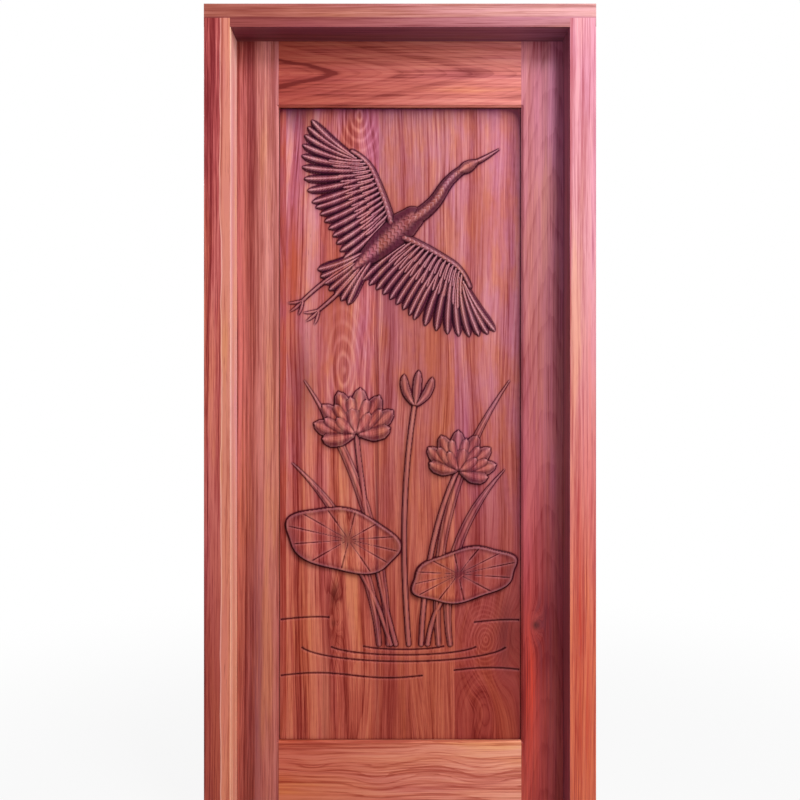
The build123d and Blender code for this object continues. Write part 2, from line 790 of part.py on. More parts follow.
def flower(place, lean, size):
    """An open flower from the side: three rows of petals, each shorter and higher than the last."""
    rows = zip(petal_row_angles, petal_row_length_shares, petal_row_width_shares)
    pieces = []
    for number, (angles, length_share, width_share) in enumerate(rows):
        ends = []
        for angle in angles:
            length = size * length_share * (1 - petal_droop_share * abs(angle) / 90)
            step = upwards(angle + lean)
            ends.append((place + step * size * petal_root_share, place + step * length))
        bow_shares = [-petal_bow_share * math.sin(math.radians(angle)) for angle in angles]
        pieces.append(petal_row(ends, bow_shares, size * width_share, number * petal_row_rise))
    return pieces


def bud(place, lean):
    """A closed bud: one row of petals that curve in to a common point."""
    ends = []
    for angle in bud_angles:
        root = place + upwards(90 + lean) * bud_root_step * angle / max(bud_angles)
        ends.append((root, root + upwards(angle + lean) * bud_length * math.cos(math.radians(angle))))
    bow_shares = [-bud_bow_share * angle / max(bud_angles) for angle in bud_angles]
    return [petal_row(ends, bow_shares, bud_petal_width, 0)]


def pond_leaf(place, length, breadth, tilt, hub_shares, lobes):
    """A round leaf seen at a slant: a wavy oval that dishes down from its rim to its hub."""
    turn = cmath.exp(1j * math.radians(tilt))
    rim = []
    lip = []
    for number in range(leaf_facets):
        angle = 2 * math.pi * number / leaf_facets
        wave = math.sin(lobes * angle)
        oval = complex(length / 2 * math.cos(angle), breadth / 2 * math.sin(angle))
        rim.append(place + turn * oval * (1 + leaf_wave_share * wave))
        lip.append(leaf_rim_height + leaf_rim_wave * wave)
    hub_place = place + turn * complex(length * hub_shares[0], breadth * hub_shares[1])
    hub = raised(hub_place, leaf_hub_height)
    polygons = [[raised(p, -relief_root) for p in rim]]
    for i in range(leaf_facets):
        j = (i + 1) % leaf_facets
        polygons.append(wall(rim[i], rim[j], lip[i], lip[j]))
        polygons.append([raised(rim[i], lip[i]), raised(rim[j], lip[j]), hub])
    return closed_solid(polygons)


def reeds_and_stems():
    """Reeds that bow outwards, and the stems of flowers and leaves, all from the pond's foot."""
    foot = on_panel(*pond_foot_shares)
    pieces = []
    for foot_share, tip_shares, bow_share in zip(reed_foot_shares, reed_tip_shares, reed_bow_shares):
        root = foot + opening_width * foot_share
        crowns = (reed_crown, reed_tip_crown)
        pieces.append(blade(root, on_panel(*tip_shares), bow_share, reed_width, crowns, reed_edge))
    for foot_share, bend_shares, top_shares in zip(stem_foot_shares, stem_bend_shares, stem_top_shares):
        root = foot + opening_width * foot_share
        spine = curve(root, on_panel(*bend_shares), on_panel(*top_shares), tube_run_shares)
        pieces.append(tube(spine, (stem_radius, stem_radius), (stem_crown, stem_crown)))
    return pieces


def pond_leaves():
    """The two round leaves, one on each side."""
    left = on_panel(*left_leaf_place_shares)
    right = on_panel(*right_leaf_place_shares)
    return [
        pond_leaf(left, left_leaf_length, left_leaf_breadth, left_leaf_tilt, left_leaf_hub_shares, 5),
        pond_leaf(right, right_leaf_length, right_leaf_breadth, right_leaf_tilt, right_leaf_hub_shares, 6),
    ]


def flowers():
    """Two open flowers and a bud between them."""
    left = flower(on_panel(*left_flower_place_shares), left_flower_lean, left_flower_size)
    right = flower(on_panel(*right_flower_place_shares), right_flower_lean, right_flower_size)
    return left + right + bud(on_panel(*bud_place_shares), bud_lean)


def ripple(path):
    """The room of a V cut along a path in the panel's ground."""
    wide = ripple_half_width * (ripple_depth + relief_root) / ripple_depth
    left, right = flanks(path, [wide] * len(path))
    polygons = [[raised(p, relief_root) for p in left + right[::-1]]]
    for i in range(len(path) - 1):
        j = i + 1
        for side in (left, right):
            upper = raised(side[i], relief_root)
            bottom = raised(path[j], -ripple_depth)
            polygons.append([upper, raised(side[j], relief_root), bottom])
            polygons.append([upper, bottom, raised(path[i], -ripple_depth)])
    for i in (0, -1):
        ends = [raised(left[i], relief_root), raised(right[i], relief_root)]
        polygons.append(ends + [raised(path[i], -ripple_depth)])
    return closed_solid(polygons)


def ripples():
    """Rings cut round the stems' foot, and swells cut towards the panel's sides."""
    foot = on_panel(*pond_foot_shares)
    steps = even_shares(ripple_steps + 1)
    rooms = []
    for (across_share, up_share), angles in zip(ring_shares, ring_angles):
        across = opening_width * across_share
        up = opening_height * up_share
        turns = [math.radians(angle) for angle in blend(*angles, steps)]
        oval = [complex(across * math.cos(turn), up * math.sin(turn)) for turn in turns]
        rooms.append(ripple([foot + step for step in oval]))
    for span_shares, up_share in zip(swell_span_shares, swell_up_shares):
        path = []
        for across_share in blend(*span_shares, steps):
            wave = math.sin(2 * math.pi * (across_share - span_shares[0]) / swell_run_share)
            path.append(on_panel(across_share, up_share) + 1j * swell_height * wave)
        rooms.append(ripple(path))
    return rooms


def carved_panel():
    """The panel: a tongued board with ripples cut in its ground and the carved forms standing on it."""
    half_width = opening_width / 2 - panel_gap
    z_span = (opening_foot_z + panel_gap, opening_top_z - panel_gap)
    board = block((-half_width, half_width), (ground_y, panel_back_y), z_span)
    board += block(
        (-opening_width / 2 - tongue_reach, opening_width / 2 + tongue_reach),
        (leaf_middle_y - tongue_thickness / 2, leaf_middle_y + tongue_thickness / 2),
        (opening_foot_z - tongue_reach, opening_top_z + tongue_reach),
    )
    board = board.cut(*ripples())
    crane = wing(1) + wing(-1) + crane_tail() + crane_legs() + crane_body()
    pond = reeds_and_stems() + pond_leaves() + flowers()
    return board.fuse(*crane, *pond)


nodes = {
    "hinge_jamb": hinge_jamb(),
    "closing_jamb": closing_jamb(),
    "frame_head": frame_head(),
    "head_screws": all_of(head_screws()),
    "hinge_stile": hinge_stile(),
    "closing_stile": stile(1),
    "top_rail": rail((opening_top_z, leaf_top_z), top_tenon_spans()),
    "bottom_rail": rail((leaf_foot_z, opening_foot_z), bottom_tenon_spans()),
    "top_rail_wedges": all_of(wedges(top_tenon_spans())),
    "bottom_rail_wedges": all_of(wedges(bottom_tenon_spans())),
    "carved_panel": carved_panel(),
    "jamb_plate_screws": all_of(plate_screws(-1)),
    "leaf_plate_screws": all_of(plate_screws(1)),
}
for name, height in zip(hinge_names, hinge_heights):
    nodes[f"{name}_hinge_jamb_plate"] = hinge_plate(-1, height)
    nodes[f"{name}_hinge_leaf_plate"] = hinge_plate(1, height)
    nodes[f"{name}_hinge_pin"] = hinge_pin(height)

os.makedirs("parts", exist_ok=True)
for name, shape in nodes.items():
    export_step(shape, f"parts/{name}.step")
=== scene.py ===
"""Carved panel door in its frame: timber finishes, carved boards, hinges, light and camera."""
import math
from typing import NamedTuple

import bpy
import numpy as np
from bpy.props import FloatProperty, FloatVectorProperty, PointerProperty
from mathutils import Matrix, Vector


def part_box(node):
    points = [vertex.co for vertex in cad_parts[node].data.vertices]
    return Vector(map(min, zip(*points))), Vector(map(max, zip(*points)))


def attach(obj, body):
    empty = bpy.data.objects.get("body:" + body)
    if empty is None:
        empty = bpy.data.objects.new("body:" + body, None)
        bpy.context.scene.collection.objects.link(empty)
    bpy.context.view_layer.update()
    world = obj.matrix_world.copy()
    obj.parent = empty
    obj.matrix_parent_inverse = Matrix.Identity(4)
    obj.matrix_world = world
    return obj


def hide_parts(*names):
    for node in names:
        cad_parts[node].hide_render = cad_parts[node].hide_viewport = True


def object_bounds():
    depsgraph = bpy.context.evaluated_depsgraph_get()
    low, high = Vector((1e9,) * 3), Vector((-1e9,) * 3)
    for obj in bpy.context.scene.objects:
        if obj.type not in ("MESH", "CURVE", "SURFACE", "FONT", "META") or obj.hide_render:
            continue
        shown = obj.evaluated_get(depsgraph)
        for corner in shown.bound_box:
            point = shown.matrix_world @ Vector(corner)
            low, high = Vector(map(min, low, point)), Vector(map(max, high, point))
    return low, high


bl_info = {
    "name": "Carved panel door",
    "version": (1, 0, 0),
    "blender": (4, 5, 0),
    "location": "3D View > Sidebar > Carved door",
    "description": "Timber, carving, hinge finishes and a stage for a panel door in its frame",
    "category": "Object",
}

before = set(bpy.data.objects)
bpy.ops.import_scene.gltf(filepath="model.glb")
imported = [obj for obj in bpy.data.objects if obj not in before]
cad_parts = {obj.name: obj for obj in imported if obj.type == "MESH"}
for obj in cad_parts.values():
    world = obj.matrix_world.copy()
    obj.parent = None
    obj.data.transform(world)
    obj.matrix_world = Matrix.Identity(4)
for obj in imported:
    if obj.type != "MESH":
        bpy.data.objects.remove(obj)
CAD_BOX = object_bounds()

# Panel: its opening in the leaf, its ground, its tongue and the lines where its boards are glued, in metres
OPENING_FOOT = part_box("bottom_rail")[1].z
OPENING_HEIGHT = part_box("top_rail")[0].z - OPENING_FOOT
OPENING_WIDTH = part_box("closing_stile")[0].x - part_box("hinge_stile")[1].x
PANEL_LOW, PANEL_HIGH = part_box("carved_panel")
PANEL_GAP = 0.0015
GROUND_Y = 0.028
TONGUE_FRONT_Y = 0.0345
TONGUE_BACK_Y = 0.0465
TONGUE_STEP = 0.0003
BOARD_EDGE = OPENING_WIDTH / 2 - PANEL_GAP
BOARD_FOOT = OPENING_FOOT + PANEL_GAP
BOARD_TOP = OPENING_FOOT + OPENING_HEIGHT - PANEL_GAP
GLUE_LINES = (-0.3125, -0.1853, -0.058, 0.046, 0.15, 0.2402)
# Boards of the panel from left to right, each with its timber
BOARDS = (
    ("panel_edge_strip", "panel_strip"),
    ("panel_left_board", "panel_left"),
    ("panel_left_board_inner", "panel_left"),
    ("panel_middle_board", "panel_middle"),
    ("panel_middle_board_inner", "panel_middle"),
    ("panel_right_board_inner", "panel_right"),
    ("panel_right_board", "panel_right"),
)

# Carving: a point on the panel's face is a complex number, across plus up times 1j. Widths, radii, crowns
# and edges are in metres, and a pair of them is for a form's root and its tip
SPINE_RUN = np.linspace(0, 1, 17)
ROUND_EDGE = 0.0006
FORM_WALL = 0.0022
# Feathers and petals: shares of the half width along their run, crowns, edges
PLUME_RUN = (0.0, 0.4, 0.75, 0.93, 1.0)
PLUMES = {
    "feather": ((0.52, 0.9, 1.0, 0.74, 0.12), (0.009, 0.0055), (0.0045, 0.0028)),
    "petal": ((0.38, 0.96, 0.9, 0.55, 0.1), (0.0095, 0.008), (0.0052, 0.0037)),
}
# Wash on the crest and on the flanks of each finish, dark stain on feathers and painted shade that darkens
# every form's flanks more than its crest, and how much its crests gleam
WASHES_AND_SHADE = {
    "feather": (0.25, 1.0, 1.0),
    "down": (0.25, 0.9, 0.7),
    "round": (0.1, 0.7, 0.4),
    "beak": (0.1, 0.7, 0.4),
    "petal": (0.0, 0.6, 0.35),
    "blade": (0.05, 0.5, 0.3),
    "stem": (0.0, 0.5, 0.3),
}
GROUND_GLEAM = 0.1

# Crane: lines and places are shares of its reach, ahead and to its left, from a point between its shoulders
CRANE_REACH = 0.395
CRANE_HEADING = np.exp(1j * np.radians(41))
CRANE_PLACE = (-0.021, 0.802)
FEATHER_BOW = 0.035
WING_ARM = ((0.02, 0.06), (0.1, 0.22), (0.155, 0.4))
WING_HAND = ((0.155, 0.4), (0.19, 0.5), (0.145, 0.62))
WRIST_SHARE = 0.6
WING_FRONT_RADII = (0.012, 0.007)
WING_FRONT_CROWNS = (0.015, 0.011)
# Rows of a wing: the roots' line, or how far they are behind the front edge; lengths of the first, middle
# and last feather; angles of the first and last; width; rise
WING_FEATHERS = 9
WING_ROWS = (
    (((0.13, 0.59), (0.15, 0.5), (0.115, 0.39)), (0.38, 0.45, 0.43), (8, 70), 0.026, 0.0),
    (((0.115, 0.36), (0.08, 0.22), (-0.03, 0.07)), (0.43, 0.4, 0.37), (72, 94), 0.026, 0.0),
)
WING_COVERTS = 14
COVERT_RUN = (0.84, 0.12)
COVERT_ROWS = (
    (0.035, (0.215, 0.2, 0.183), (44, 90), 0.023, 0.0017),
    (0.015, (0.125, 0.116, 0.106), (44, 90), 0.019, 0.0037),
)
TAIL_FEATHERS = 7
TAIL_ANGLE = 26
TAIL_ROOT = (-0.27, 0.1)
TAIL_REACH = (0.33, 0.36)
TAIL_WIDTH = 0.03
BODY_LINE = ((0.16, 0), (-0.12, 0), (-0.42, 0))
BODY_RUN = (0.0, 0.16, 0.33, 0.5, 0.67, 0.84, 1.0)
BODY_WIDTHS = (0.74, 0.97, 1.0, 0.9, 0.68, 0.4, 0.06)
BODY_CROWNS = (0.92, 0.98, 1.0, 0.97, 0.88, 0.72, 0.5)
BODY_HALF_WIDTH = 0.041
BODY_CROWN = 0.017
BODY_EDGE = 0.003
NECK_LINE = ((0.1, 0), (0.3, -0.045), (0.42, 0))
THROAT_LINE = ((0.42, 0), (0.54, 0.045), (0.66, 0.02))
NECK_RADII = (0.021, 0.0105)
NECK_CROWNS = (0.017, 0.012)
HEAD_LINE = ((0.62, 0.025), (0.68, 0.02), (0.75, 0))
HEAD_RUN = (0.0, 0.2, 0.4, 0.6, 0.8, 1.0)
HEAD_WIDTHS = (0.42, 0.82, 1.0, 0.98, 0.76, 0.4)
HEAD_HALF_WIDTH = 0.015
HEAD_CROWN = 0.0145
EYE_PLACE = (0.695, 0.028)
BEAK_ENDS = ((0.735, 0.004), (0.93, -0.035))
BEAK_WIDTHS = (0.95, 0.9, 0.7, 0.42, 0.12)
LEGS = (
    ((-0.36, 0.035), (-0.56, 0.077), (-0.79, 0.067)),
    ((-0.36, -0.03), (-0.56, -0.066), (-0.75, -0.057)),
)
LEG_RADII = (0.0055, 0.0036)
LEG_CROWNS = (0.008, 0.005)
TOE_STEPS = ((-0.092, -0.055), (-0.12, 0), (-0.092, 0.055))
# Beak and toes: bow, width, crowns, edge
BEAK = (-0.02, 0.013, (0.011, 0.006), 0.0025)
TOE = (0.05, 0.007, (0.005, 0.003), 0.0015)

# Pond: places are shares of the opening, across from its middle and up from its foot
POND_FOOT = (0.015, 0.151)
BLADE_RUN = (0.0, 0.25, 0.5, 0.75, 1.0)
BLADE_WIDTHS = (0.52, 0.9, 1.0, 0.8, 0.08)
# Reeds: foot, tip, bow; each has the same width, crowns and edge
REEDS = (
    (-0.102, (-0.446, 0.438), -0.1),
    (-0.063, (-0.395, 0.568), -0.07),
    (0.144, (0.452, 0.568), 0.09),
    (0.192, (0.431, 0.427), 0.12),
)
REED = (0.023, (0.005, 0.0036), 0.002)
# Stems: foot, bend, top
STEMS = (
    (-0.033, (-0.143, 0.323), (-0.181, 0.485)),
    (0.072, (0.105, 0.323), (0.241, 0.428)),
    (0.021, (-0.012, 0.369), (0.063, 0.536)),
    (-0.054, (-0.105, 0.242), (-0.248, 0.314)),
    (0.099, (0.136, 0.219), (0.259, 0.261)),
)
STEM_RADII = (0.006, 0.006)
STEM_CROWNS = (0.005, 0.005)
# Leaves: place, length, breadth, tilt, hub, lobes
POND_LEAVES = (
    ((-0.238, 0.316), 0.316, 0.168, -13, (0.05, 0.03), 5),
    ((0.265, 0.261), 0.292, 0.14, 12, (-0.05, 0.04), 6),
)
# Flowers: place, lean, size; rows of their petals: angles, shares of the size in length and width, rise
FLOWERS = (((-0.181, 0.483), -9, 0.128), ((0.241, 0.425), 14, 0.112))
PETAL_ROWS = (
    ((-66, -40, -14, 14, 40, 66), 1.0, 0.37, 0.0),
    ((-88, -54, -26, 0, 26, 54, 88), 0.8, 0.37, 0.0021),
    ((-40, 0, 40), 0.56, 0.39, 0.0042),
)
PETAL_ROOT = 0.1
PETAL_SHORTENING = 0.1
PETAL_BOW = -0.05
# Bud: place, lean, length, width, step between its roots, angles
BUD = ((0.063, 0.531), 6, 0.092, 0.023, 0.0047, (-24, 0, 24))
BUD_BOW = -0.1
# Ripples: rings with their two radii and first and last angle, swells with their two ends and height
RINGS = (((0.181, 0.0086), (205, 335)), ((0.309, 0.0173), (196, 344)), ((0.429, 0.0277), (192, 348)))
SWELLS = (((-0.49, -0.295), 0.19), ((0.31, 0.49), 0.1856), ((-0.49, 0.09), 0.1014), ((0.226, 0.49), 0.1095))
SWELL_HEIGHT = 0.007
SWELL_RUN = 0.59
RIPPLE_POINTS = 49
RIPPLE_HALF_WIDTH = 0.0045
RIPPLE_DEPTH = 0.003

# Fine cuts: heights, depths and steps are in metres. Roofs are powers of the share of the half width, and a
# lip or cut is (height or depth, place, width), the last two as shares
ROOFS = {"feather": 1.4, "petal": 1.7, "blade": 1.2, "beak": 1.2}
SHAFT_HEIGHT = 0.0011
SHAFT_WIDTH = 0.0016
SHAFT_TAPER = 0.6
BARB_DEPTH = 0.0012
BARB_STEP = 0.0085
BARB_SLANT = 1.5
BARB_STARTS = (0.003, 0.03)
VALLEY_DEPTH = 0.002
VALLEY_SHARE = 0.65
FEATHER_TUCK = 0.0011
PETAL_LIP = (0.0008, 0.93, 0.1)
PETAL_VEIN_DEPTH = 0.0003
PETAL_VEINS = 3.5
BLADE_CUT = (0.0006, 0.5, 0.12)
SCALLOP_HEIGHT = 0.0014
SCALLOP_STEPS = (0.013, 0.014)
SCALLOP_BOW = 0.4
LEAF_WAVE = 0.045
LEAF_VEINS = 6
LEAF_VEIN = (0.0016, 0.11)
LEAF_LIP = (0.0012, 0.96, 0.045)
LEAF_CURL = 0.0012
LEAF_HUB_HEIGHT = 0.0045
LEAF_DISH = 0.005
LEAF_DISH_POWER = 1.3
# Painted shade in a leaf's dished hub and along its rim: strength, and how far from the hub it reaches or
# where towards the rim it starts
LEAF_HUB_SHADE = (0.55, 0.5)
LEAF_RIM_SHADE = (0.45, 0.75)
EYE_RADIUS = 0.0032
EYE_LINE = 0.0012
EYE_RING_HEIGHT = 0.0012
EYE_BEAD_HEIGHT = 0.001
EYE_CUP_DEPTH = 0.0006
TOOL_SEED = 41
TOOL_WIDTH = 0.006

# Stain and painted shade: blurs that find a painted shadow on the ground beside forms, and stain with
# painted shade in hollows and in cuts, then for each of the three how far below its blur the face holds it
# all, and its strength
CAST_SHADOW_BLUR = 0.007
CAST_SHADOW_SHIFT = 0.006
HOLLOW_BLUR = 0.0035
CUT_BLUR = 0.002
STAINS_AND_SHADE = ((0.003, 0.3), (0.0018, 0.4), (0.0005, 0.8))
# Darkening along the panel's edges: strength, reach; at the right its strength grows up to a share of the
# height
RIGHT_EDGE_DARKENING = ((0.4, 0.9), 0.017)
RIGHT_GROWTH = 0.6
TOP_EDGE_DARKENING = (1.1, 0.0225)
LEFT_EDGE_DARKENING = (0.4, 0.004)
FOOT_EDGE_DARKENING = (0.4, 0.004)
# Blur of the wash, which holds stain and painted shade
WASH_AND_SHADE_BLUR = 0.001
# How far a crest stands above its blur to be rubbed and get a painted highlight
HIGHLIGHT_RUB_HEIGHT = 0.0006
CUT_LABELS = ("cut_stain", "crest_rub", "feather_wash")


class Timber(NamedTuple):
    """How one board was cut and what marks it, in metres; a place is across and along the board.

    tones run dark, middle, pale. far is their tint at the foot or the left end, span where it comes in:
    painted shade and painted sheen, darker and warmer away from the top right, paler and bluer towards it.
    pith is the rings' middle, across and deep, and lean its drift along the board. ring is a ring's width,
    wander how far rings bend, figured how strong they are, taper how they close in along the board.
    bands are (side, place across, softness, wave, tones beyond it, their far).
    figures are (place, two radii, push of the rings). dark_rings are (radius, half width, strength).
    ovals are (place, two radii, pale lines in a radius, strength). knots are (place, radius).
    blushes are (place, two radii, tone, strength).
    """

    tones: tuple
    far: tuple
    pith: tuple
    ring: float
    wander: float
    contrast: float
    seed: float
    lean: tuple = (0.0, 0.0)
    figured: float = 0.5
    upright: bool = True
    taper: float = 0.0
    span: tuple = (1.9, 0.3)
    bands: tuple = ()
    figures: tuple = ()
    dark_rings: tuple = ()
    ovals: tuple = ()
    knots: tuple = ()
    blushes: tuple = ()


# Lying boards take their far tint, painted shade, at the left end, away from the light
LYING_SPAN = (0.45, -0.4)
TIMBERS = {
    "hinge_jamb": Timber(
        tones=((126, 32, 36), (183, 79, 78), (220, 122, 114)), far=(0.68, 0.47, 0.32), span=(1.2, 0.3),
        pith=(-0.62, 0.12), lean=(0.01, 0.0), ring=0.007, wander=0.03, contrast=1.4, seed=3.1,
        bands=(
            (1, -0.4722, 0.0006, 0.018,
             ((214, 140, 126), (236, 164, 150), (246, 182, 168)), (1.05, 1.0, 0.86)),
            (1, -0.4698, 0.0012, 0.018,
             ((166, 76, 62), (195, 104, 87), (224, 138, 118)), (1.12, 1.05, 0.82)),
            # The reveal, facing the lamp: paler sapwood, and painted light on top of it
            (1, -0.4472, 0.0006, 0.0,
             ((232, 160, 146), (252, 188, 174), (255, 204, 192)), (1.12, 1.05, 0.82)),
        ),
    ),
    "closing_jamb": Timber(
        tones=((172, 80, 90), (198, 122, 132), (220, 150, 156)), far=(1.12, 0.64, 0.29), span=(1.6, 0.3),
        pith=(0.68, 0.2), lean=(0.012, 0.0), ring=0.006, wander=0.02, contrast=1.4, seed=7.7,
        bands=(
            # The reveal, turned from the lamp: painted purple shade
            (-1, 0.4472, 0.0006, 0.0, ((104, 44, 62), (140, 79, 105), (172, 108, 130)), (0.9, 0.6, 0.5)),
        ),
        blushes=(
            (0.472, 0.45, 0.012, 0.4, (190, 44, 34), 0.9),
            (0.5, 0.95, 0.014, 0.4, (214, 92, 84), 0.5),
            (0.492, 0.3, 0.01, 0.25, (196, 52, 38), 0.8),
        ),
    ),
    "frame_head": Timber(
        tones=((126, 48, 56), (154, 82, 91), (182, 112, 120)), far=(0.68, 0.42, 0.32), span=LYING_SPAN,
        pith=(2.32, 0.1), lean=(0.02, 0.0), ring=0.007, wander=0.015, contrast=1.2, seed=11.3,
        figured=0.4, upright=False,
        bands=(
            (1, 2.156, 0.003, 0.006, ((154, 86, 74), (187, 123, 111), (212, 154, 144)), (0.83, 0.57, 0.5)),
            # The head's underside: painted purple shade
            (-1, 2.1294, 0.0003, 0.0, ((110, 58, 76), (139, 84, 106), (160, 104, 126)), (0.7, 0.45, 0.4)),
        ),
    ),
    "hinge_stile": Timber(
        tones=((126, 46, 43), (159, 79, 72), (194, 112, 102)), far=(0.93, 0.83, 0.68),
        pith=(-0.3, 0.2), lean=(0.008, 0.0), ring=0.008, wander=0.02, contrast=1.4, seed=15.9,
        bands=(
            (1, -0.392, 0.012, 0.02, ((164, 86, 78), (197, 120, 112), (222, 148, 138)), (0.86, 0.66, 0.6)),
        ),
        blushes=(
            (-0.435, 1.15, 0.03, 0.3, (212, 120, 112), 0.9),
            (-0.39, 0.35, 0.02, 0.5, (124, 58, 70), 0.7),
        ),
    ),
    "closing_stile": Timber(
        tones=((142, 55, 67), (175, 94, 106), (198, 118, 128)), far=(0.98, 0.45, 0.3), span=(1.55, 0.35),
        pith=(0.4, 0.13), lean=(0.01, 0.02), ring=0.009, wander=0.03, contrast=1.0, seed=21.4, taper=0.05,
        bands=(
            # Outer strip in the jamb's shadow: painted purple fill light in that shadow
            (1, 0.405, 0.012, 0.02, ((174, 81, 108), (213, 122, 153), (229, 145, 174)), (0.76, 0.37, 0.29)),
        ),
        knots=((0.3715, 0.532, 0.009),),
        blushes=(
            (0.36, 0.34, 0.02, 0.22, (226, 74, 52), 0.9),
            (0.4, 0.42, 0.022, 0.3, (112, 38, 56), 0.7),
            (0.38, 0.54, 0.02, 0.08, (96, 32, 46), 0.7),
            (0.42, 1.2, 0.05, 0.35, (196, 110, 138), 0.5),
        ),
    ),
    "top_rail": Timber(
        tones=((136, 46, 42), (206, 112, 102), (232, 150, 134)), far=(0.63, 0.39, 0.31), span=LYING_SPAN,
        pith=(2.04, 0.006), ring=0.013, wander=0.012, contrast=0.75, seed=27.2,
        figured=0.4, upright=False, taper=0.209,
        dark_rings=((-0.0293, 0.0045, 0.5), (0.0136, 0.006, 0.22), (0.055, 0.006, 0.14)),
    ),
    "bottom_rail": Timber(
        tones=((196, 98, 76), (239, 149, 122), (255, 178, 150)), far=(0.7, 0.41, 0.31), span=LYING_SPAN,
        pith=(0.02, 0.3), lean=(0.05, 0.02), ring=0.007, wander=0.03, contrast=1.4, seed=33.8,
        figured=0.75, upright=False,
        figures=(
            (0.15, -0.24, 0.03, 0.05, 0.006),
            (0.11, -0.06, 0.04, 0.07, 0.01),
            (0.18, 0.1, 0.04, 0.06, -0.005),
            (0.13, 0.22, 0.04, 0.08, 0.009),
        ),
    ),
    "wedges": Timber(
        tones=((104, 52, 34), (166, 92, 66), (206, 134, 100)), far=(1.0, 1.0, 1.0), span=LYING_SPAN,
        pith=(0.0, 0.2), ring=0.005, wander=0.01, contrast=0.8, seed=39.5, upright=False,
    ),
    "panel_strip": Timber(
        tones=((144, 44, 38), (191, 96, 95), (222, 132, 130)), far=(0.95, 0.75, 0.5),
        pith=(-0.4, 0.15), ring=0.006, wander=0.01, contrast=0.9, seed=43.3,
    ),
    "panel_left": Timber(
        tones=((138, 50, 54), (198, 109, 113), (228, 152, 150)), far=(0.9, 0.63, 0.37),
        pith=(-0.14, -0.03), lean=(0.004, 0.05), ring=0.011, wander=0.025, contrast=1.0, seed=48.6,
        figured=0.9,
        figures=(
            (-0.129, 1.205, 0.04, 0.16, 0.02),
            (-0.088, 1.93, 0.03, 0.1, 0.02),
            (-0.18, 0.55, 0.02, 0.1, 0.03),
        ),
        ovals=((-0.152, 1.23, 0.05, 0.13, 3.2, 0.36), (-0.112, 1.93, 0.05, 0.085, 3.0, 0.36)),
        blushes=(
            (-0.268, 1.2, 0.035, 0.14, (128, 48, 50), 0.7),
            (-0.062, 0.9, 0.006, 0.7, (92, 26, 40), 0.8),
            (-0.296, 1.52, 0.016, 0.16, (188, 84, 60), 0.9),
            # Painted sheen of the varnish
            (-0.243, 1.55, 0.014, 0.22, (206, 136, 142), 0.6),
            (-0.185, 1.43, 0.05, 0.16, (186, 92, 70), 0.9),
            (-0.28, 1.94, 0.05, 0.06, (104, 42, 52), 0.7),
            (-0.178, 0.612, 0.016, 0.035, (84, 22, 20), 0.9),
            (-0.182, 0.535, 0.006, 0.01, (84, 22, 20), 0.9),
            (-0.205, 0.33, 0.012, 0.16, (204, 122, 96), 0.6),
        ),
    ),
    "panel_middle": Timber(
        tones=((142, 60, 62), (187, 109, 110), (216, 144, 140)), far=(0.92, 0.57, 0.33),
        pith=(0.3, 0.0), lean=(-0.012, 0.02), ring=0.012, wander=0.025, contrast=1.1, seed=53.9,
        figured=0.3,
        figures=((0.04, 0.5, 0.03, 0.2, 0.03),),
        blushes=((0.02, 1.5, 0.04, 0.2, (178, 92, 76), 0.8), (0.09, 1.25, 0.03, 0.16, (184, 96, 74), 0.8)),
    ),
    "panel_right": Timber(
        tones=((142, 54, 58), (192, 110, 113), (216, 140, 140)), far=(0.68, 0.32, 0.22), span=(1.5, 0.3),
        pith=(0.24, -0.02), lean=(0.01, 0.03), ring=0.01, wander=0.04, contrast=0.85, seed=59.2,
        figured=0.7,
        figures=(
            (0.2, 0.45, 0.05, 0.1, 0.05),
            (0.27, 0.4, 0.04, 0.12, 0.05),
            (0.235, 0.3, 0.04, 0.07, -0.03),
            (0.31, 0.52, 0.03, 0.09, 0.03),
        ),
        ovals=((0.236, 0.49, 0.05, 0.075, 6.0, 0.4),),
        blushes=((0.22, 1.62, 0.03, 0.14, (182, 92, 72), 0.8), (0.29, 0.5, 0.03, 0.12, (78, 22, 30), 0.6)),
    ),
}
# Pieces of frame and leaf whose timber has their own name, and the wedges, which share one
PLAIN_PIECES = (
    "hinge_jamb", "closing_jamb", "frame_head", "hinge_stile", "closing_stile", "top_rail", "bottom_rail",
)
WEDGE_PIECES = ("top_rail_wedges", "bottom_rail_wedges")

# Noises of the timber: scales across and along the grain, detail, roughness, shift
SWAY = (4.0, 0.6, 2.0, 0.5, 0.0)
LONG_WAVES = (4.0, 1.5, 1.0, 0.5, 50.0)
JITTER = (34.0, 2.6, 3.0, 0.6, 0.0)
STREAKS = (22.0, 0.9, 3.0, 0.6, 4.0)
LINES = (140.0, 1.4, 4.0, 0.7, 20.0)
FIBRES = (380.0, 7.0, 3.0, 0.65, 8.0)
PORES = (800.0, 22.0, 1.0, 0.5, 12.0)
EDGE_WAVE = (9.0, 3.0, 3.0, 0.6, 16.0)
HUES = (15.0, 1.3, 3.0, 0.6, 30.0)
PATCHES = (20.0, 6.0, 3.0, 0.6, 40.0)
# How far they go: waves and jitter of the rings, then tones of rings, late edges, streaks, lines, fibres
LONG_WAVE_REACH = 0.07
DEEP_SWAY = 0.4
JITTER_SHARE = 1.3
OVAL_SWAY = 0.75
RING_RATE = 0.3
RING_TONE = 1.7
LATE_EDGE = (0.55, 0.94)
LATE_TONE = 0.32
LATE_MEAN = 0.08
STREAK_TONE = 1.4
LINE_TONE = 1.3
FIBRE_TONE = 1.3
CARVED_FINENESS = 0.7
TONE_PLACES = (0.12, 0.5, 0.88)
# Pale lines of the ovals: where one rises and falls, its mean, and how fast the oval dies away
OVAL_RISE = (0.0, 0.3)
OVAL_FALL = (0.3, 0.7)
OVAL_MEAN = 0.3
OVAL_EDGE = 0.6
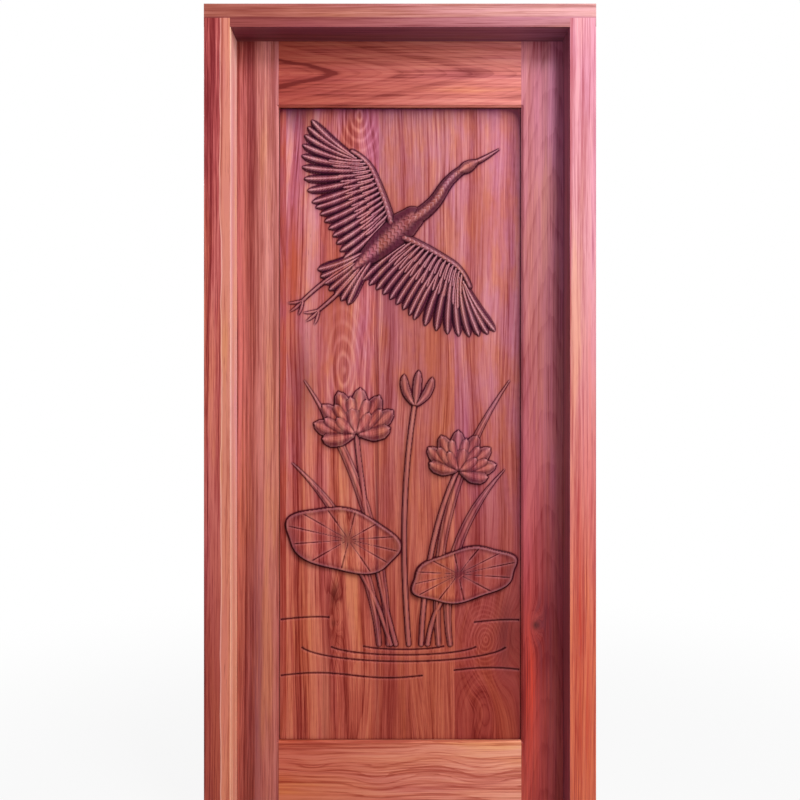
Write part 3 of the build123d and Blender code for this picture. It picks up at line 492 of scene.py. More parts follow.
# Tints: the span of the noise that brings them in, and their colour. The first two go by the hues, the
# others by the patches, on the upper part of carved boards, where mauve is a painted sheen of the varnish
HONEY = ((0.5, 0.66), (1.03, 1.1, 0.8, 1.0))
PLUM = ((0.5, 0.34), (0.94, 0.86, 1.02, 1.0))
MAUVE_SHEEN = ((0.49, 0.62), (0.97, 1.0, 1.2, 1.0))
AMBER = ((0.51, 0.38), (1.02, 0.97, 0.74, 1.0))
UPPER_PART = (0.0, 0.7)
# Blushes follow the lines over a span of their noise. Knots push the rings over two radii and are dark ovals
PLAIN_BLUSH = (0.4, 0.62)
CARVED_BLUSH = (0.2, 0.62)
KNOT_SWIRL = (2, 5, 3)
KNOT_LENGTH = 1.4
KNOT_SHARE = 0.85
KNOT_TONE = (62, 22, 26)
# Painted highlight on rubbed crests
CREST_HIGHLIGHT_TONE = (232, 166, 180)
# Tone of the wash: dark stain, tinted purple as a painted sheen
WASH_AND_SHADE_TONE = (72, 14, 42)
# How much of a rubbed crest the painted highlight covers
CREST_HIGHLIGHT_SHARE = 0.7
PIT_RANGE = (0.62, 0.74)
PIT_SHARE = 0.35
FIBRE_HEIGHT = 0.4
FIBRE_DULLNESS = 0.2
BUMP_STRENGTH = 0.2
# Gloss of plain and of carved timber, and roughness of the clear varnish on carved crests
PLAIN_SPECULAR = 0.2
CARVED_SPECULAR = 0.06
COAT_ROUGHNESS = 0.25
# Metals: dull tint, roughness, fineness of the brushing; then the ends of the brass pieces' names
BRASS = ((0.36, 0.22, 0.08), 0.3, 900.0)
STEEL = ((0.34, 0.34, 0.33), 0.35, 700.0)
BRASS_ENDINGS = ("_plate", "_pin", "_plate_screws")

# Stage: lamps are (name, place, size, colour), and all face the middle of the door
LAMPS = (
    ("key", (1.7, -2.5, 2.2), 1.6, (1.0, 0.98, 0.95)),
    ("sky", (1.2, -2.3, 3.7), 1.0, (0.9, 0.94, 1.0)),
    ("back", (-1.6, 3.0, 2.6), 1.6, (1.0, 1.0, 1.0)),
)
LIT_MIDDLE = (0.0, 0.0, 1.1)
WHITE = (1.0, 1.0, 1.0, 1.0)
FLOOR_CORNERS = 96
FLOOR_WHITE = (0.9, 1.0)
FLOOR_FADE = (0.8, 0.95)
SENSOR_WIDTH = 36.0


class Stroke(NamedTuple):
    """One carved form: a spine, and along it half widths, crowns and edges, and the finish of its back."""

    spine: np.ndarray
    half_widths: np.ndarray
    crowns: np.ndarray
    edges: np.ndarray
    finish: str


def on_panel(across_share, up_share):
    """A point at shares of the opening's width from its middle and of its height from its foot."""
    return across_share * OPENING_WIDTH + 1j * (OPENING_FOOT + up_share * OPENING_HEIGHT)


def on_crane(ahead_share, aside_share):
    """A point at shares of the crane's reach, ahead of its shoulders and to its left."""
    return on_panel(*CRANE_PLACE) + CRANE_REACH * CRANE_HEADING * (ahead_share + 1j * aside_share)


def between(ends, run=SPINE_RUN):
    """Values that go evenly from the first end to the last."""
    first, last = ends
    return first + (last - first) * run


def shaped(size, run, shares):
    """Values along a spine: a size times shares given at places of its run."""
    return size * np.interp(SPINE_RUN, run, shares)


def level(value):
    """The same value all along a spine."""
    return np.full(len(SPINE_RUN), value)


def curve(start, bend, end, run=SPINE_RUN):
    """Quadratic curve: (1-s)^2 start + 2s(1-s) bend + s^2 end."""
    return start * (1 - run) ** 2 + bend * 2 * run * (1 - run) + end * run ** 2


def bowed(root, tip, bow_share):
    """A curve from root to tip that bows to its left by a share of its length."""
    return curve(root, (root + tip) / 2 + 2j * bow_share * (tip - root), tip)


def crane_line(line, side=1, run=SPINE_RUN):
    """A curve drawn in shares of the crane's reach; side -1 is its mirror image."""
    return curve(*[on_crane(ahead, side * aside) for ahead, aside in line], run)


def trail(side, angles):
    """Directions from the crane: straight out to one side at 0 degrees, straight back at 90."""
    return CRANE_HEADING * 1j * side * np.exp(1j * side * np.radians(angles))


def upwards(angle):
    """A direction on the panel's face: straight up at 0 degrees, across to the right at 90."""
    return np.exp(1j * np.radians(90 - angle))


def plumes(finish, roots, tips, bows, width, rise):
    """A row of feathers or petals, each from its root to its tip, a rise above the lowest ones."""
    shares, crowns, edges = PLUMES[finish]
    form = (shaped(width / 2, PLUME_RUN, shares), between(crowns) + rise, between(edges) + rise, finish)
    return [Stroke(bowed(*line), *form) for line in zip(roots, tips, bows)]


def tube(spine, radii, crowns, finish="round"):
    """A round ridge that goes evenly from its first radius and crown to its last."""
    return Stroke(spine, between(radii), between(crowns), level(ROUND_EDGE), finish)


def blade(root, tip, bow, width, crowns, edge, shares=BLADE_WIDTHS, finish="blade"):
    """A slender pointed ridge, such as a reed, a toe or a beak."""
    half_widths = shaped(width / 2, BLADE_RUN, shares)
    return Stroke(bowed(root, tip, bow), half_widths, between(crowns), level(edge), finish)


def wing_front(side, run):
    """Points of a wing's front edge: the arm's curve up to the wrist, then the hand's."""
    arm = crane_line(WING_ARM, side, np.minimum(run / WRIST_SHARE, 1))
    hand = crane_line(WING_HAND, side, np.maximum(run - WRIST_SHARE, 0) / (1 - WRIST_SHARE))
    return np.where(run < WRIST_SHARE, arm, hand)


def wing(side):
    """A spread wing: long feathers of hand and arm, two rows of coverts over them, a round front edge."""
    places = np.linspace(0, 1, WING_FEATHERS)
    rows = [(crane_line(line, side, places), *row) for line, *row in WING_ROWS]
    front = wing_front(side, between(COVERT_RUN, np.linspace(0, 1, WING_COVERTS)))
    rows += [(front + CRANE_REACH * behind * trail(side, 90), *row) for behind, *row in COVERT_ROWS]
    strokes = []
    for roots, lengths, angles, width, rise in rows:
        run = np.linspace(0, 1, len(roots))
        tips = roots + CRANE_REACH * curve(*lengths, run) * trail(side, between(angles, run))
        strokes += plumes("feather", roots, tips, [side * FEATHER_BOW] * len(roots), width, rise)
    return [*strokes, tube(wing_front(side, SPINE_RUN), WING_FRONT_RADII, WING_FRONT_CROWNS, "down")]


def crane():
    """Tail, legs, wings, body, neck, head and beak of the crane, the lowest first."""
    turns = np.linspace(-1, 1, TAIL_FEATHERS)
    angles = np.radians(TAIL_ANGLE * turns)
    roots = on_crane(TAIL_ROOT[0], TAIL_ROOT[1] * np.sin(angles))
    tips = on_crane(TAIL_ROOT[0] - TAIL_REACH[0] * np.cos(angles), TAIL_REACH[1] * np.sin(angles))
    strokes = plumes("feather", roots, tips, FEATHER_BOW * turns, TAIL_WIDTH, 0)
    for leg in LEGS:
        spine = crane_line(leg)
        strokes.append(tube(spine, LEG_RADII, LEG_CROWNS))
        for step in TOE_STEPS:
            tip = spine[-1] + CRANE_REACH * CRANE_HEADING * complex(*step)
            strokes.append(blade(spine[-1], tip, *TOE))
    strokes += wing(1) + wing(-1)
    body_widths = shaped(BODY_HALF_WIDTH, BODY_RUN, BODY_WIDTHS)
    body_crowns = shaped(BODY_CROWN, BODY_RUN, BODY_CROWNS)
    strokes.append(Stroke(crane_line(BODY_LINE), body_widths, body_crowns, level(BODY_EDGE), "down"))
    # Every second point of the two lines, without the one that they share, makes one spine
    neck = np.concatenate([crane_line(NECK_LINE)[::2], crane_line(THROAT_LINE)[2::2]])
    strokes.append(tube(neck, NECK_RADII, NECK_CROWNS, "down"))
    head_widths = shaped(HEAD_HALF_WIDTH, HEAD_RUN, HEAD_WIDTHS)
    head = Stroke(crane_line(HEAD_LINE), head_widths, level(HEAD_CROWN), level(ROUND_EDGE), "round")
    strokes.append(head)
    root, tip = [on_crane(*end) for end in BEAK_ENDS]
    strokes.append(blade(root, tip, *BEAK, BEAK_WIDTHS, "beak"))
    return strokes


def flower(place, lean, size):
    """An open flower from the side: three rows of petals, each shorter and higher than the last."""
    strokes = []
    for angles, length_share, width_share, rise in PETAL_ROWS:
        turns = np.array(angles, float)
        step = upwards(turns + lean)
        lengths = size * length_share * (1 - PETAL_SHORTENING * np.abs(turns) / 90)
        roots = place + step * size * PETAL_ROOT
        bows = PETAL_BOW * np.sin(np.radians(turns))
        strokes += plumes("petal", roots, place + step * lengths, bows, size * width_share, rise)
    return strokes


def bud(place, lean, length, width, root_step, angles):
    """A closed bud: one row of petals that curve in to a common point."""
    turns = np.array(angles, float)
    shares = turns / turns.max()
    roots = place + upwards(90 + lean) * root_step * shares
    tips = roots + upwards(turns + lean) * length * np.cos(np.radians(turns))
    return plumes("petal", roots, tips, BUD_BOW * shares, width, 0)


def reeds_and_stems():
    """Reeds that bow outwards, and the stems of flowers and leaves, all from the pond's foot."""
    foot = on_panel(*POND_FOOT)
    strokes = []
    for foot_share, tip, bow in REEDS:
        strokes.append(blade(foot + OPENING_WIDTH * foot_share, on_panel(*tip), bow, *REED))
    for foot_share, bend, top in STEMS:
        spine = curve(foot + OPENING_WIDTH * foot_share, on_panel(*bend), on_panel(*top))
        strokes.append(tube(spine, STEM_RADII, STEM_CROWNS, "stem"))
    return strokes


def ripple_lines():
    """Spines of the ripples: rings round the stems' foot, and swells that wave to the panel's sides."""
    run = np.linspace(0, 1, RIPPLE_POINTS)
    foot = on_panel(*POND_FOOT)
    lines = []
    for (across, up), ends in RINGS:
        turns = np.radians(between(ends, run))
        ring = across * OPENING_WIDTH * np.cos(turns) + 1j * up * OPENING_HEIGHT * np.sin(turns)
        lines.append(foot + ring)
    for ends, up in SWELLS:
        across = between(ends, run)
        wave = SWELL_HEIGHT * np.sin(2 * np.pi * (across - ends[0]) / SWELL_RUN)
        lines.append(on_panel(across, up) + 1j * wave)
    return lines


def nearest_on(points, spine):
    """Share of the run, distance and side of the nearest point of a spine of straight steps.

    A point less a step's start, times the step's conjugate over its squared length, has the share along
    that step as its real part. Held between 0 and 1 it gives the foot point, and the least distance picks
    the step.
    """
    steps = np.diff(spine)
    reach = points[..., None] - spine[:-1]
    share = np.clip((reach * np.conj(steps)).real / np.abs(steps) ** 2, 0, 1)
    gap = reach - share * steps
    pick = np.abs(gap).argmin(-1)[..., None]
    side = np.sign((gap * np.conj(steps)).imag)
    share, gap, side = [np.take_along_axis(values, pick, -1)[..., 0] for values in (share, gap, side)]
    return (pick[..., 0] + share) / len(steps), np.abs(gap), side


def softened(field, cells):
    """A field blurred by a bell of so many cells, as a product of its waves, mirrored at its edges."""
    pad = int(4 * cells) + 1
    wide = np.pad(field, pad, mode="reflect")
    up = np.fft.fftfreq(wide.shape[0])[:, None]
    across = np.fft.rfftfreq(wide.shape[1])[None, :]
    damping = np.exp(-2 * (np.pi * cells) ** 2 * (up ** 2 + across ** 2))
    return np.fft.irfft2(np.fft.rfft2(wide) * damping, wide.shape)[pad:-pad, pad:-pad]


def eased(values):
    """0 below 0, 1 above 1, and 3t^2 - 2t^3 between."""
    t = np.clip(values, 0, 1)
    return t * t * (3 - 2 * t)


def bell(values, place=0.0, width=1.0):
    """e to the power of minus the square of the distance from a place over a width."""
    return np.exp(-(((values - place) / width) ** 2))


def notches(phase, power):
    """1 at each whole number and less between: 1 - |sin(pi phase)|^power."""
    return 1 - np.abs(np.sin(np.pi * phase)) ** power


def back_of(stroke, run, share, side, gap):
    """Height of a form's back at a share q of its half width: edge plus the crown's dome, plus its finish.

    The dome is a roof 1 - q^power, or sqrt(1 - q^2) on round forms. Feathers have a raised shaft, slanting
    barbs, a valley at their edge and one side tucked under, petals a lip and fine veins, blades a cut on
    each side, and down has scalloped rows.
    """
    places = np.linspace(0, 1, len(stroke.spine))
    crown = np.interp(run, places, stroke.crowns)
    edge = np.interp(run, places, stroke.edges)
    far = run * np.abs(np.diff(stroke.spine)).sum()
    q = np.minimum(share, 1)
    finish = stroke.finish
    dome = 1 - q ** ROOFS[finish] if finish in ROOFS else np.sqrt(1 - q ** 2)
    back = edge + (crown - edge) * dome
    if finish == "feather":
        shaft = SHAFT_HEIGHT * bell(gap, 0.0, SHAFT_WIDTH) * (1 - SHAFT_TAPER * run)
        barbs = BARB_DEPTH * notches((far - BARB_SLANT * gap) / BARB_STEP, 0.6)
        barbs = barbs * eased(gap / BARB_STARTS[0]) * eased(far / BARB_STARTS[1])
        valley = VALLEY_DEPTH * eased((q - VALLEY_SHARE) / (1 - VALLEY_SHARE))
        return back + shaft - barbs - valley + FEATHER_TUCK * q * side
    if finish == "petal":
        height, *lip = PETAL_LIP
        veins = PETAL_VEIN_DEPTH * notches(PETAL_VEINS * q, 0.5) * eased(run * 5)
        return back + height * bell(q, *lip) - veins
    if finish == "blade":
        depth, *cut = BLADE_CUT
        return back - depth * bell(q, *cut)
    if finish == "down":
        along, around = SCALLOP_STEPS
        rows = far / along + SCALLOP_BOW * np.abs(np.sin(np.pi * gap * side / around))
        saw = rows - np.floor(rows)
        return back + SCALLOP_HEIGHT * (np.minimum(saw, 5 * (1 - saw)) - 0.5) * (1 - q ** 2)
    return back


class Relief:
    """The carving on a grid: its height above the panel's ground, its wash, which is stain on feathers and
    painted shade on the flanks of forms and in leaves, and how much it gleams.
    """

    def __init__(self, columns, rows):
        self.columns = columns
        self.rows = rows
        self.step = columns[1] - columns[0]
        self.height = np.zeros((len(rows), len(columns)))
        self.wash = np.zeros_like(self.height)
        self.gleam = np.full_like(self.height, GROUND_GLEAM)

    def window(self, spine, reach):
        """The part of the grid within reach of a spine, and its points."""
        across = np.searchsorted(self.columns, (spine.real.min() - reach, spine.real.max() + reach))
        up = np.searchsorted(self.rows, (spine.imag.min() - reach, spine.imag.max() + reach))
        part = (slice(*up), slice(*across))
        return part, self.columns[None, part[1]] + 1j * self.rows[part[0], None]

    def put(self, part, back, inside, wash, gleam):
        """A form over the last ones: its back times the wall at its edge, where that is higher."""
        form = back * inside
        higher = (form > self.height[part]) & (inside > 0)
        for field, values in ((self.height, form), (self.wash, wash), (self.gleam, gleam)):
            field[part] = np.where(higher, values, field[part])

    def groove(self, line):
        """A V cut along a line: depth times (1 - distance over half width), below the ground."""
        part, points = self.window(line, 2 * RIPPLE_HALF_WIDTH)
        gap = nearest_on(points, line)[1]
        cut = -RIPPLE_DEPTH * np.clip(1 - gap / RIPPLE_HALF_WIDTH, 0, 1)
        self.height[part] = np.minimum(self.height[part], cut)

    def lay(self, stroke):
        """One form along its spine, with a steep eased wall at its half width."""
        part, points = self.window(stroke.spine, stroke.half_widths.max() + FORM_WALL)
        run, gap, side = nearest_on(points, stroke.spine)
        half = np.interp(run, np.linspace(0, 1, len(stroke.spine)), stroke.half_widths)
        inside = eased((half - gap) / FORM_WALL + 0.5)
        crest, flank, gleam = WASHES_AND_SHADE[stroke.finish]
        # Wash with painted shade: darker from the crest out to the flanks
        wash = crest + (flank - crest) * eased((gap / half - 0.1) / 0.5) * inside
        self.put(part, back_of(stroke, run, gap / half, side, gap), inside, wash, gleam)

    def lay_leaf(self, place, length, breadth, tilt, hub, lobes):
        """A round leaf at a slant: a wavy oval, dished from its rim to its hub, with veins from there.

        In the leaf's own oval, a point's share of the way from hub to rim is 1 over the t at which
        hub + t (point - hub) meets the unit circle, and t solves a quadratic.
        """
        centre = on_panel(*place)
        part, points = self.window(np.array([centre]), length * 0.6)
        local = (points - centre) * np.exp(-1j * np.radians(tilt))
        oval = local.real / (length / 2) + 1j * local.imag / (breadth / 2)
        wave = np.sin(lobes * np.angle(oval))
        oval = oval / (1 + LEAF_WAVE * wave)
        middle = complex(2 * hub[0], 2 * hub[1])
        ray = oval - middle
        square = np.maximum(np.abs(ray) ** 2, 1e-9)
        dot = (middle * np.conj(ray)).real
        share = square / (-dot + np.sqrt(dot ** 2 + square * (1 - abs(middle) ** 2)))
        inside = eased((1 - share) * breadth / 2 / FORM_WALL + 0.5)
        turn = LEAF_VEINS * np.angle(ray)
        forked = np.abs(np.sin(turn)) + np.abs(np.sin(2 * turn)) * eased((0.55 - share) / 0.1)
        vein_depth, vein_width = LEAF_VEIN
        veins = bell(forked * share, 0.0, vein_width)
        veins = veins * eased((share - 0.05) / 0.1) * eased((1 - share) / 0.1)
        lip_height, *lip = LEAF_LIP
        back = LEAF_HUB_HEIGHT + LEAF_DISH * share ** LEAF_DISH_POWER - vein_depth * veins
        back = back + lip_height * bell(share, *lip) + LEAF_CURL * wave * share ** 3
        # Painted shade in the dished hub and along the rim
        hub_shade, reach = LEAF_HUB_SHADE
        rim_shade, start = LEAF_RIM_SHADE
        wash = hub_shade * eased((reach - share) / reach) + rim_shade * eased((share - start) / (1 - start))
        self.put(part, back, inside, wash, WASHES_AND_SHADE["petal"][2])

    def eye(self, place):
        """A ring round a bead, both bells of the distance from its middle, in a shallow cup."""
        part, points = self.window(np.array([place]), 4 * EYE_RADIUS)
        gap = np.abs(points - place)
        ring = EYE_RING_HEIGHT * bell(gap, EYE_RADIUS, EYE_LINE)
        bead = EYE_BEAD_HEIGHT * bell(gap, 0.0, EYE_LINE)
        self.height[part] += ring + bead - EYE_CUP_DEPTH * (gap < EYE_RADIUS)


def carving(columns, rows, tooling_depth):
    """The whole relief: ripples in the ground, pond, crane over it, and faint tool marks over all."""
    relief = Relief(columns, rows)
    for line in ripple_lines():
        relief.groove(line)
    for stroke in reeds_and_stems():
        relief.lay(stroke)
    for leaf in POND_LEAVES:
        relief.lay_leaf(*leaf)
    blooms = [stroke for place, lean, size in FLOWERS for stroke in flower(on_panel(*place), lean, size)]
    blooms += bud(on_panel(*BUD[0]), *BUD[1:])
    for stroke in blooms + crane():
        relief.lay(stroke)
    relief.eye(on_crane(*EYE_PLACE))
    marks = np.random.default_rng(TOOL_SEED).standard_normal(relief.height.shape)
    marks = softened(marks, TOOL_WIDTH / relief.step)
    relief.height += tooling_depth * marks / marks.std()
    return relief


def cut_tones(relief):
    """Stain and painted shade, rubbed crests with a painted highlight, and wash with painted shade over the
    panel.

    Stain stays where a blur of the height lies above it: narrow blurs for the cuts and hollows, where it is
    stain and painted shade, and a wide one, moved down and to the left, for a painted shadow on the ground
    beside a form. The panel also darkens towards its edges, as e to the power of minus the distance. Crests,
    where the narrowest blur lies below, are rubbed and get a painted highlight.
    """
    step = relief.step
    height = relief.height
    # Painted shadow on the ground beside forms: a blur of the forms moved down and to the left
    shift = -round(CAST_SHADOW_SHIFT / step)
    painted_shadow = np.roll(softened(np.maximum(height, 0), CAST_SHADOW_BLUR / step), (shift, shift), (0, 1)) - height
    hollow = softened(height, HOLLOW_BLUR / step) - height
    cut = softened(height, CUT_BLUR / step) - height
    across = relief.columns[None, :]
    up = relief.rows[:, None]
    # Darkening along the panel's edges, growing upwards at the right
    growth = eased((up - BOARD_FOOT) / (BOARD_TOP - BOARD_FOOT) / RIGHT_GROWTH)
    sides = (
        (between(RIGHT_EDGE_DARKENING[0], growth), across - BOARD_EDGE, RIGHT_EDGE_DARKENING[1]),
        (TOP_EDGE_DARKENING[0], up - BOARD_TOP, TOP_EDGE_DARKENING[1]),
        (LEFT_EDGE_DARKENING[0], -BOARD_EDGE - across, LEFT_EDGE_DARKENING[1]),
        (FOOT_EDGE_DARKENING[0], BOARD_FOOT - up, FOOT_EDGE_DARKENING[1]),
    )
    stain_and_shade = np.zeros_like(height)
    # Stain and painted shade: a painted shadow beside forms, and stain with painted shade in hollows and
    # cuts
    for below, (full, strength) in zip((painted_shadow, hollow, cut), STAINS_AND_SHADE):
        stain_and_shade = stain_and_shade + strength * np.clip(below / full, 0, 1)
    for strength, beyond, reach in sides:
        stain_and_shade = stain_and_shade + strength * np.exp(beyond / reach)
    wash = np.clip(softened(relief.wash, WASH_AND_SHADE_BLUR / step), 0, 1)
    # Rubbed crests, which get a painted highlight
    rub_and_highlight = np.clip(-cut / HIGHLIGHT_RUB_HEIGHT, 0, 1) * relief.gleam * (1 - wash)
    return np.clip(stain_and_shade, 0, 1), rub_and_highlight, wash


def side_profile(edge, outward):
    """Points across and deep on a board's side: plain where it is glued, tongued at the panel's edge."""
    if abs(edge) < BOARD_EDGE:
        return [(edge, PANEL_HIGH.y)]
    root = edge + outward * TONGUE_STEP
    tip = outward * PANEL_HIGH.x
    tongue = [(root, TONGUE_FRONT_Y), (tip, TONGUE_FRONT_Y), (tip, TONGUE_BACK_Y), (root, TONGUE_BACK_Y)]
    return [*tongue, (edge, PANEL_HIGH.y)]


def board_mesh(name, relief, first, last, tones):
    """A closed board: its outline carried up row by row, with the carving on its front.

    The outline goes along the front at ground less height, down the right side, and back up the left side.
    In the two rows above and below the opening every point is held between the tongue's two faces.
    """
    left = np.searchsorted(relief.columns, first - relief.step / 2)
    right = np.searchsorted(relief.columns, last + relief.step / 2)
    columns = relief.columns[left:right]
    sides = np.array(side_profile(columns[-1], 1) + side_profile(columns[0], -1)[::-1])
    low_end = [PANEL_LOW.z, relief.rows[0] - TONGUE_STEP]
    high_end = [relief.rows[-1] + TONGUE_STEP, PANEL_HIGH.z]
    rows = np.concatenate([low_end, relief.rows, high_end])
    order = np.arange(len(rows))
    from_end = np.minimum(order, order[::-1])
    inner = np.clip(order - len(low_end), 0, len(relief.rows) - 1)
    front = GROUND_Y - relief.height[inner, left:right]
    across = np.concatenate([columns, sides[:, 0]])
    deep = np.concatenate([front, np.broadcast_to(sides[:, 1], (len(rows), len(sides)))], axis=1)
    tongue = from_end < len(low_end)
    deep[tongue] = np.clip(deep[tongue], TONGUE_FRONT_Y, TONGUE_BACK_Y)
    count = len(across)
    points = np.empty((len(rows), count, 3), np.float32)
    points[..., 0] = across
    points[..., 1] = deep
    points[..., 2] = rows[:, None]
    index = np.arange(len(rows) * count).reshape(len(rows), count)
    onward = np.roll(index, -1, axis=1)
    quads = np.stack([index[:-1], onward[:-1], onward[1:], index[1:]], -1).reshape(-1, 4)
    corners = np.concatenate([quads.ravel(), index[0][::-1], index[-1]])
    starts = np.concatenate([np.arange(len(quads)) * 4, len(quads) * 4 + np.array([0, count])])
    mesh = bpy.data.meshes.new(name)
    mesh.vertices.add(len(rows) * count)
    mesh.vertices.foreach_set("co", points.ravel())
    mesh.loops.add(len(corners))
    mesh.loops.foreach_set("vertex_index", corners.astype(np.int32))
    mesh.polygons.add(len(starts))
    mesh.polygons.foreach_set("loop_start", starts.astype(np.int32))
    mesh.polygons.foreach_set("use_smooth", np.ones(len(starts), bool))
    mesh.update(calc_edges=True)
    ends = np.empty(len(mesh.edges) * 2, np.int32)
    mesh.edges.foreach_get("vertices", ends)
    row, place = np.divmod(ends.reshape(-1, 2).T, count)
    upright = (place[0] == place[1]) & ((place[0] >= len(columns) - 1) | (place[0] == 0))
    lying = (row[0] == row[1]) & (from_end[row[0]] <= len(low_end))
    mesh.attributes.new("sharp_edge", "BOOLEAN", "EDGE").data.foreach_set("value", upright | lying)
    for label, field in tones.items():
        values = np.zeros((len(rows), count), np.float32)
        values[:, :len(columns)] = field[inner, left:right]
        mesh.attributes.new(label, "FLOAT", "POINT").data.foreach_set("value", values.ravel())
    mesh.validate()
    return mesh


class Paint:
    """A socket of a material's node tree that takes part in Python sums; each sum adds its Math node."""

    def __init__(self, tree, socket=None):
        self.tree = tree
        self.socket = socket

    def node(self, kind, settings=None, sockets=None, output=0):
        """Any node: its type, its settings, which are set first, and the values or links of its sockets."""
        made = self.tree.nodes.new(kind)
        for key, value in (settings or {}).items():
            if key == "stops":
                ramp = made.color_ramp
                ramp.elements[0].position = value[0][0]
                ramp.elements[1].position = value[-1][0]
                for place, _ in value[1:-1]:
                    ramp.elements.new(place)
                for element, (_, colour) in zip(ramp.elements, value):
                    element.color = colour
            else:
                setattr(made, key, value)
        for key, value in (sockets or {}).items():
            if isinstance(value, Paint):
                self.tree.links.new(value.socket, made.inputs[key])
            else:
                made.inputs[key].default_value = value
        return Paint(self.tree, made.outputs[output] if made.outputs else None)

    def other(self, name):
        """Another output of the same node."""
        return Paint(self.tree, self.socket.node.outputs[name])

    def math(self, operation, *values):
        """A Math node on sockets and numbers."""
        return self.node("ShaderNodeMath", {"operation": operation}, dict(enumerate(values)))

    def __add__(self, value):
        return self.math("ADD", self, value)

    def __sub__(self, value):
        return self.math("SUBTRACT", self, value)

    def __rsub__(self, value):
        return self.math("SUBTRACT", value, self)

    def __mul__(self, value):
        return self.math("MULTIPLY", self, value)

    def __truediv__(self, value):
        return self.math("DIVIDE", self, value)

    def __rtruediv__(self, value):
        return self.math("DIVIDE", value, self)

    __radd__ = __add__
    __rmul__ = __mul__

    def root(self):
        """The square root."""
        return self.math("SQRT", self)

    def part(self):
        """What is left after the whole number."""
        return self.math("FRACT", self)

    def ease(self, low, high):
        """0 below low, 1 above high, and a smooth step between."""
        span = {"Value": self, "From Min": low, "From Max": high}
        return self.node("ShaderNodeMapRange", {"interpolation_type": "SMOOTHSTEP"}, span)

    def bell(self):
        """e to the power of the negative."""
        return self.math("POWER", math.e, self * -1.0)

    def mix(self, factor, first, second, kind="MIX"):
        """A colour with a second one over it."""
        settings = {"data_type": "RGBA", "blend_type": kind}
        return self.node("ShaderNodeMix", settings, {0: factor, 6: first, 7: second}, 2)

    def mixed(self, factor, other, kind="MIX"):
        """This colour with another one over it."""
        return self.mix(factor, self, other, kind)

    def noise(self, scale, offset, detail, rough):
        """Noise on this vector, drawn out by a scale for each axis."""
        place = self.node("ShaderNodeMapping", None, {"Vector": self, "Scale": scale, "Location": offset})
        sockets = {"Vector": place, "Scale": 1.0, "Detail": detail, "Roughness": rough}
        return self.node("ShaderNodeTexNoise", {"noise_dimensions": "3D"}, sockets)


def linear(tone):
    """A tone of 0 to 255 as a linear colour."""
    shares = np.array(tone, float) / 255
    values = np.where(shares <= 0.04045, shares / 12.92, ((shares + 0.055) / 1.055) ** 2.4)
    return (*[float(value) for value in values], 1.0)


def new_material(name):
    """An empty material and its first Paint."""
    material = bpy.data.materials.new(name)
    material.use_nodes = True
    material.node_tree.nodes.clear()
    return material, Paint(material.node_tree)


def surface(paint, shader):
    """Joins a shader to the material's output."""
    paint.node("ShaderNodeOutputMaterial", None, {"Surface": shader})


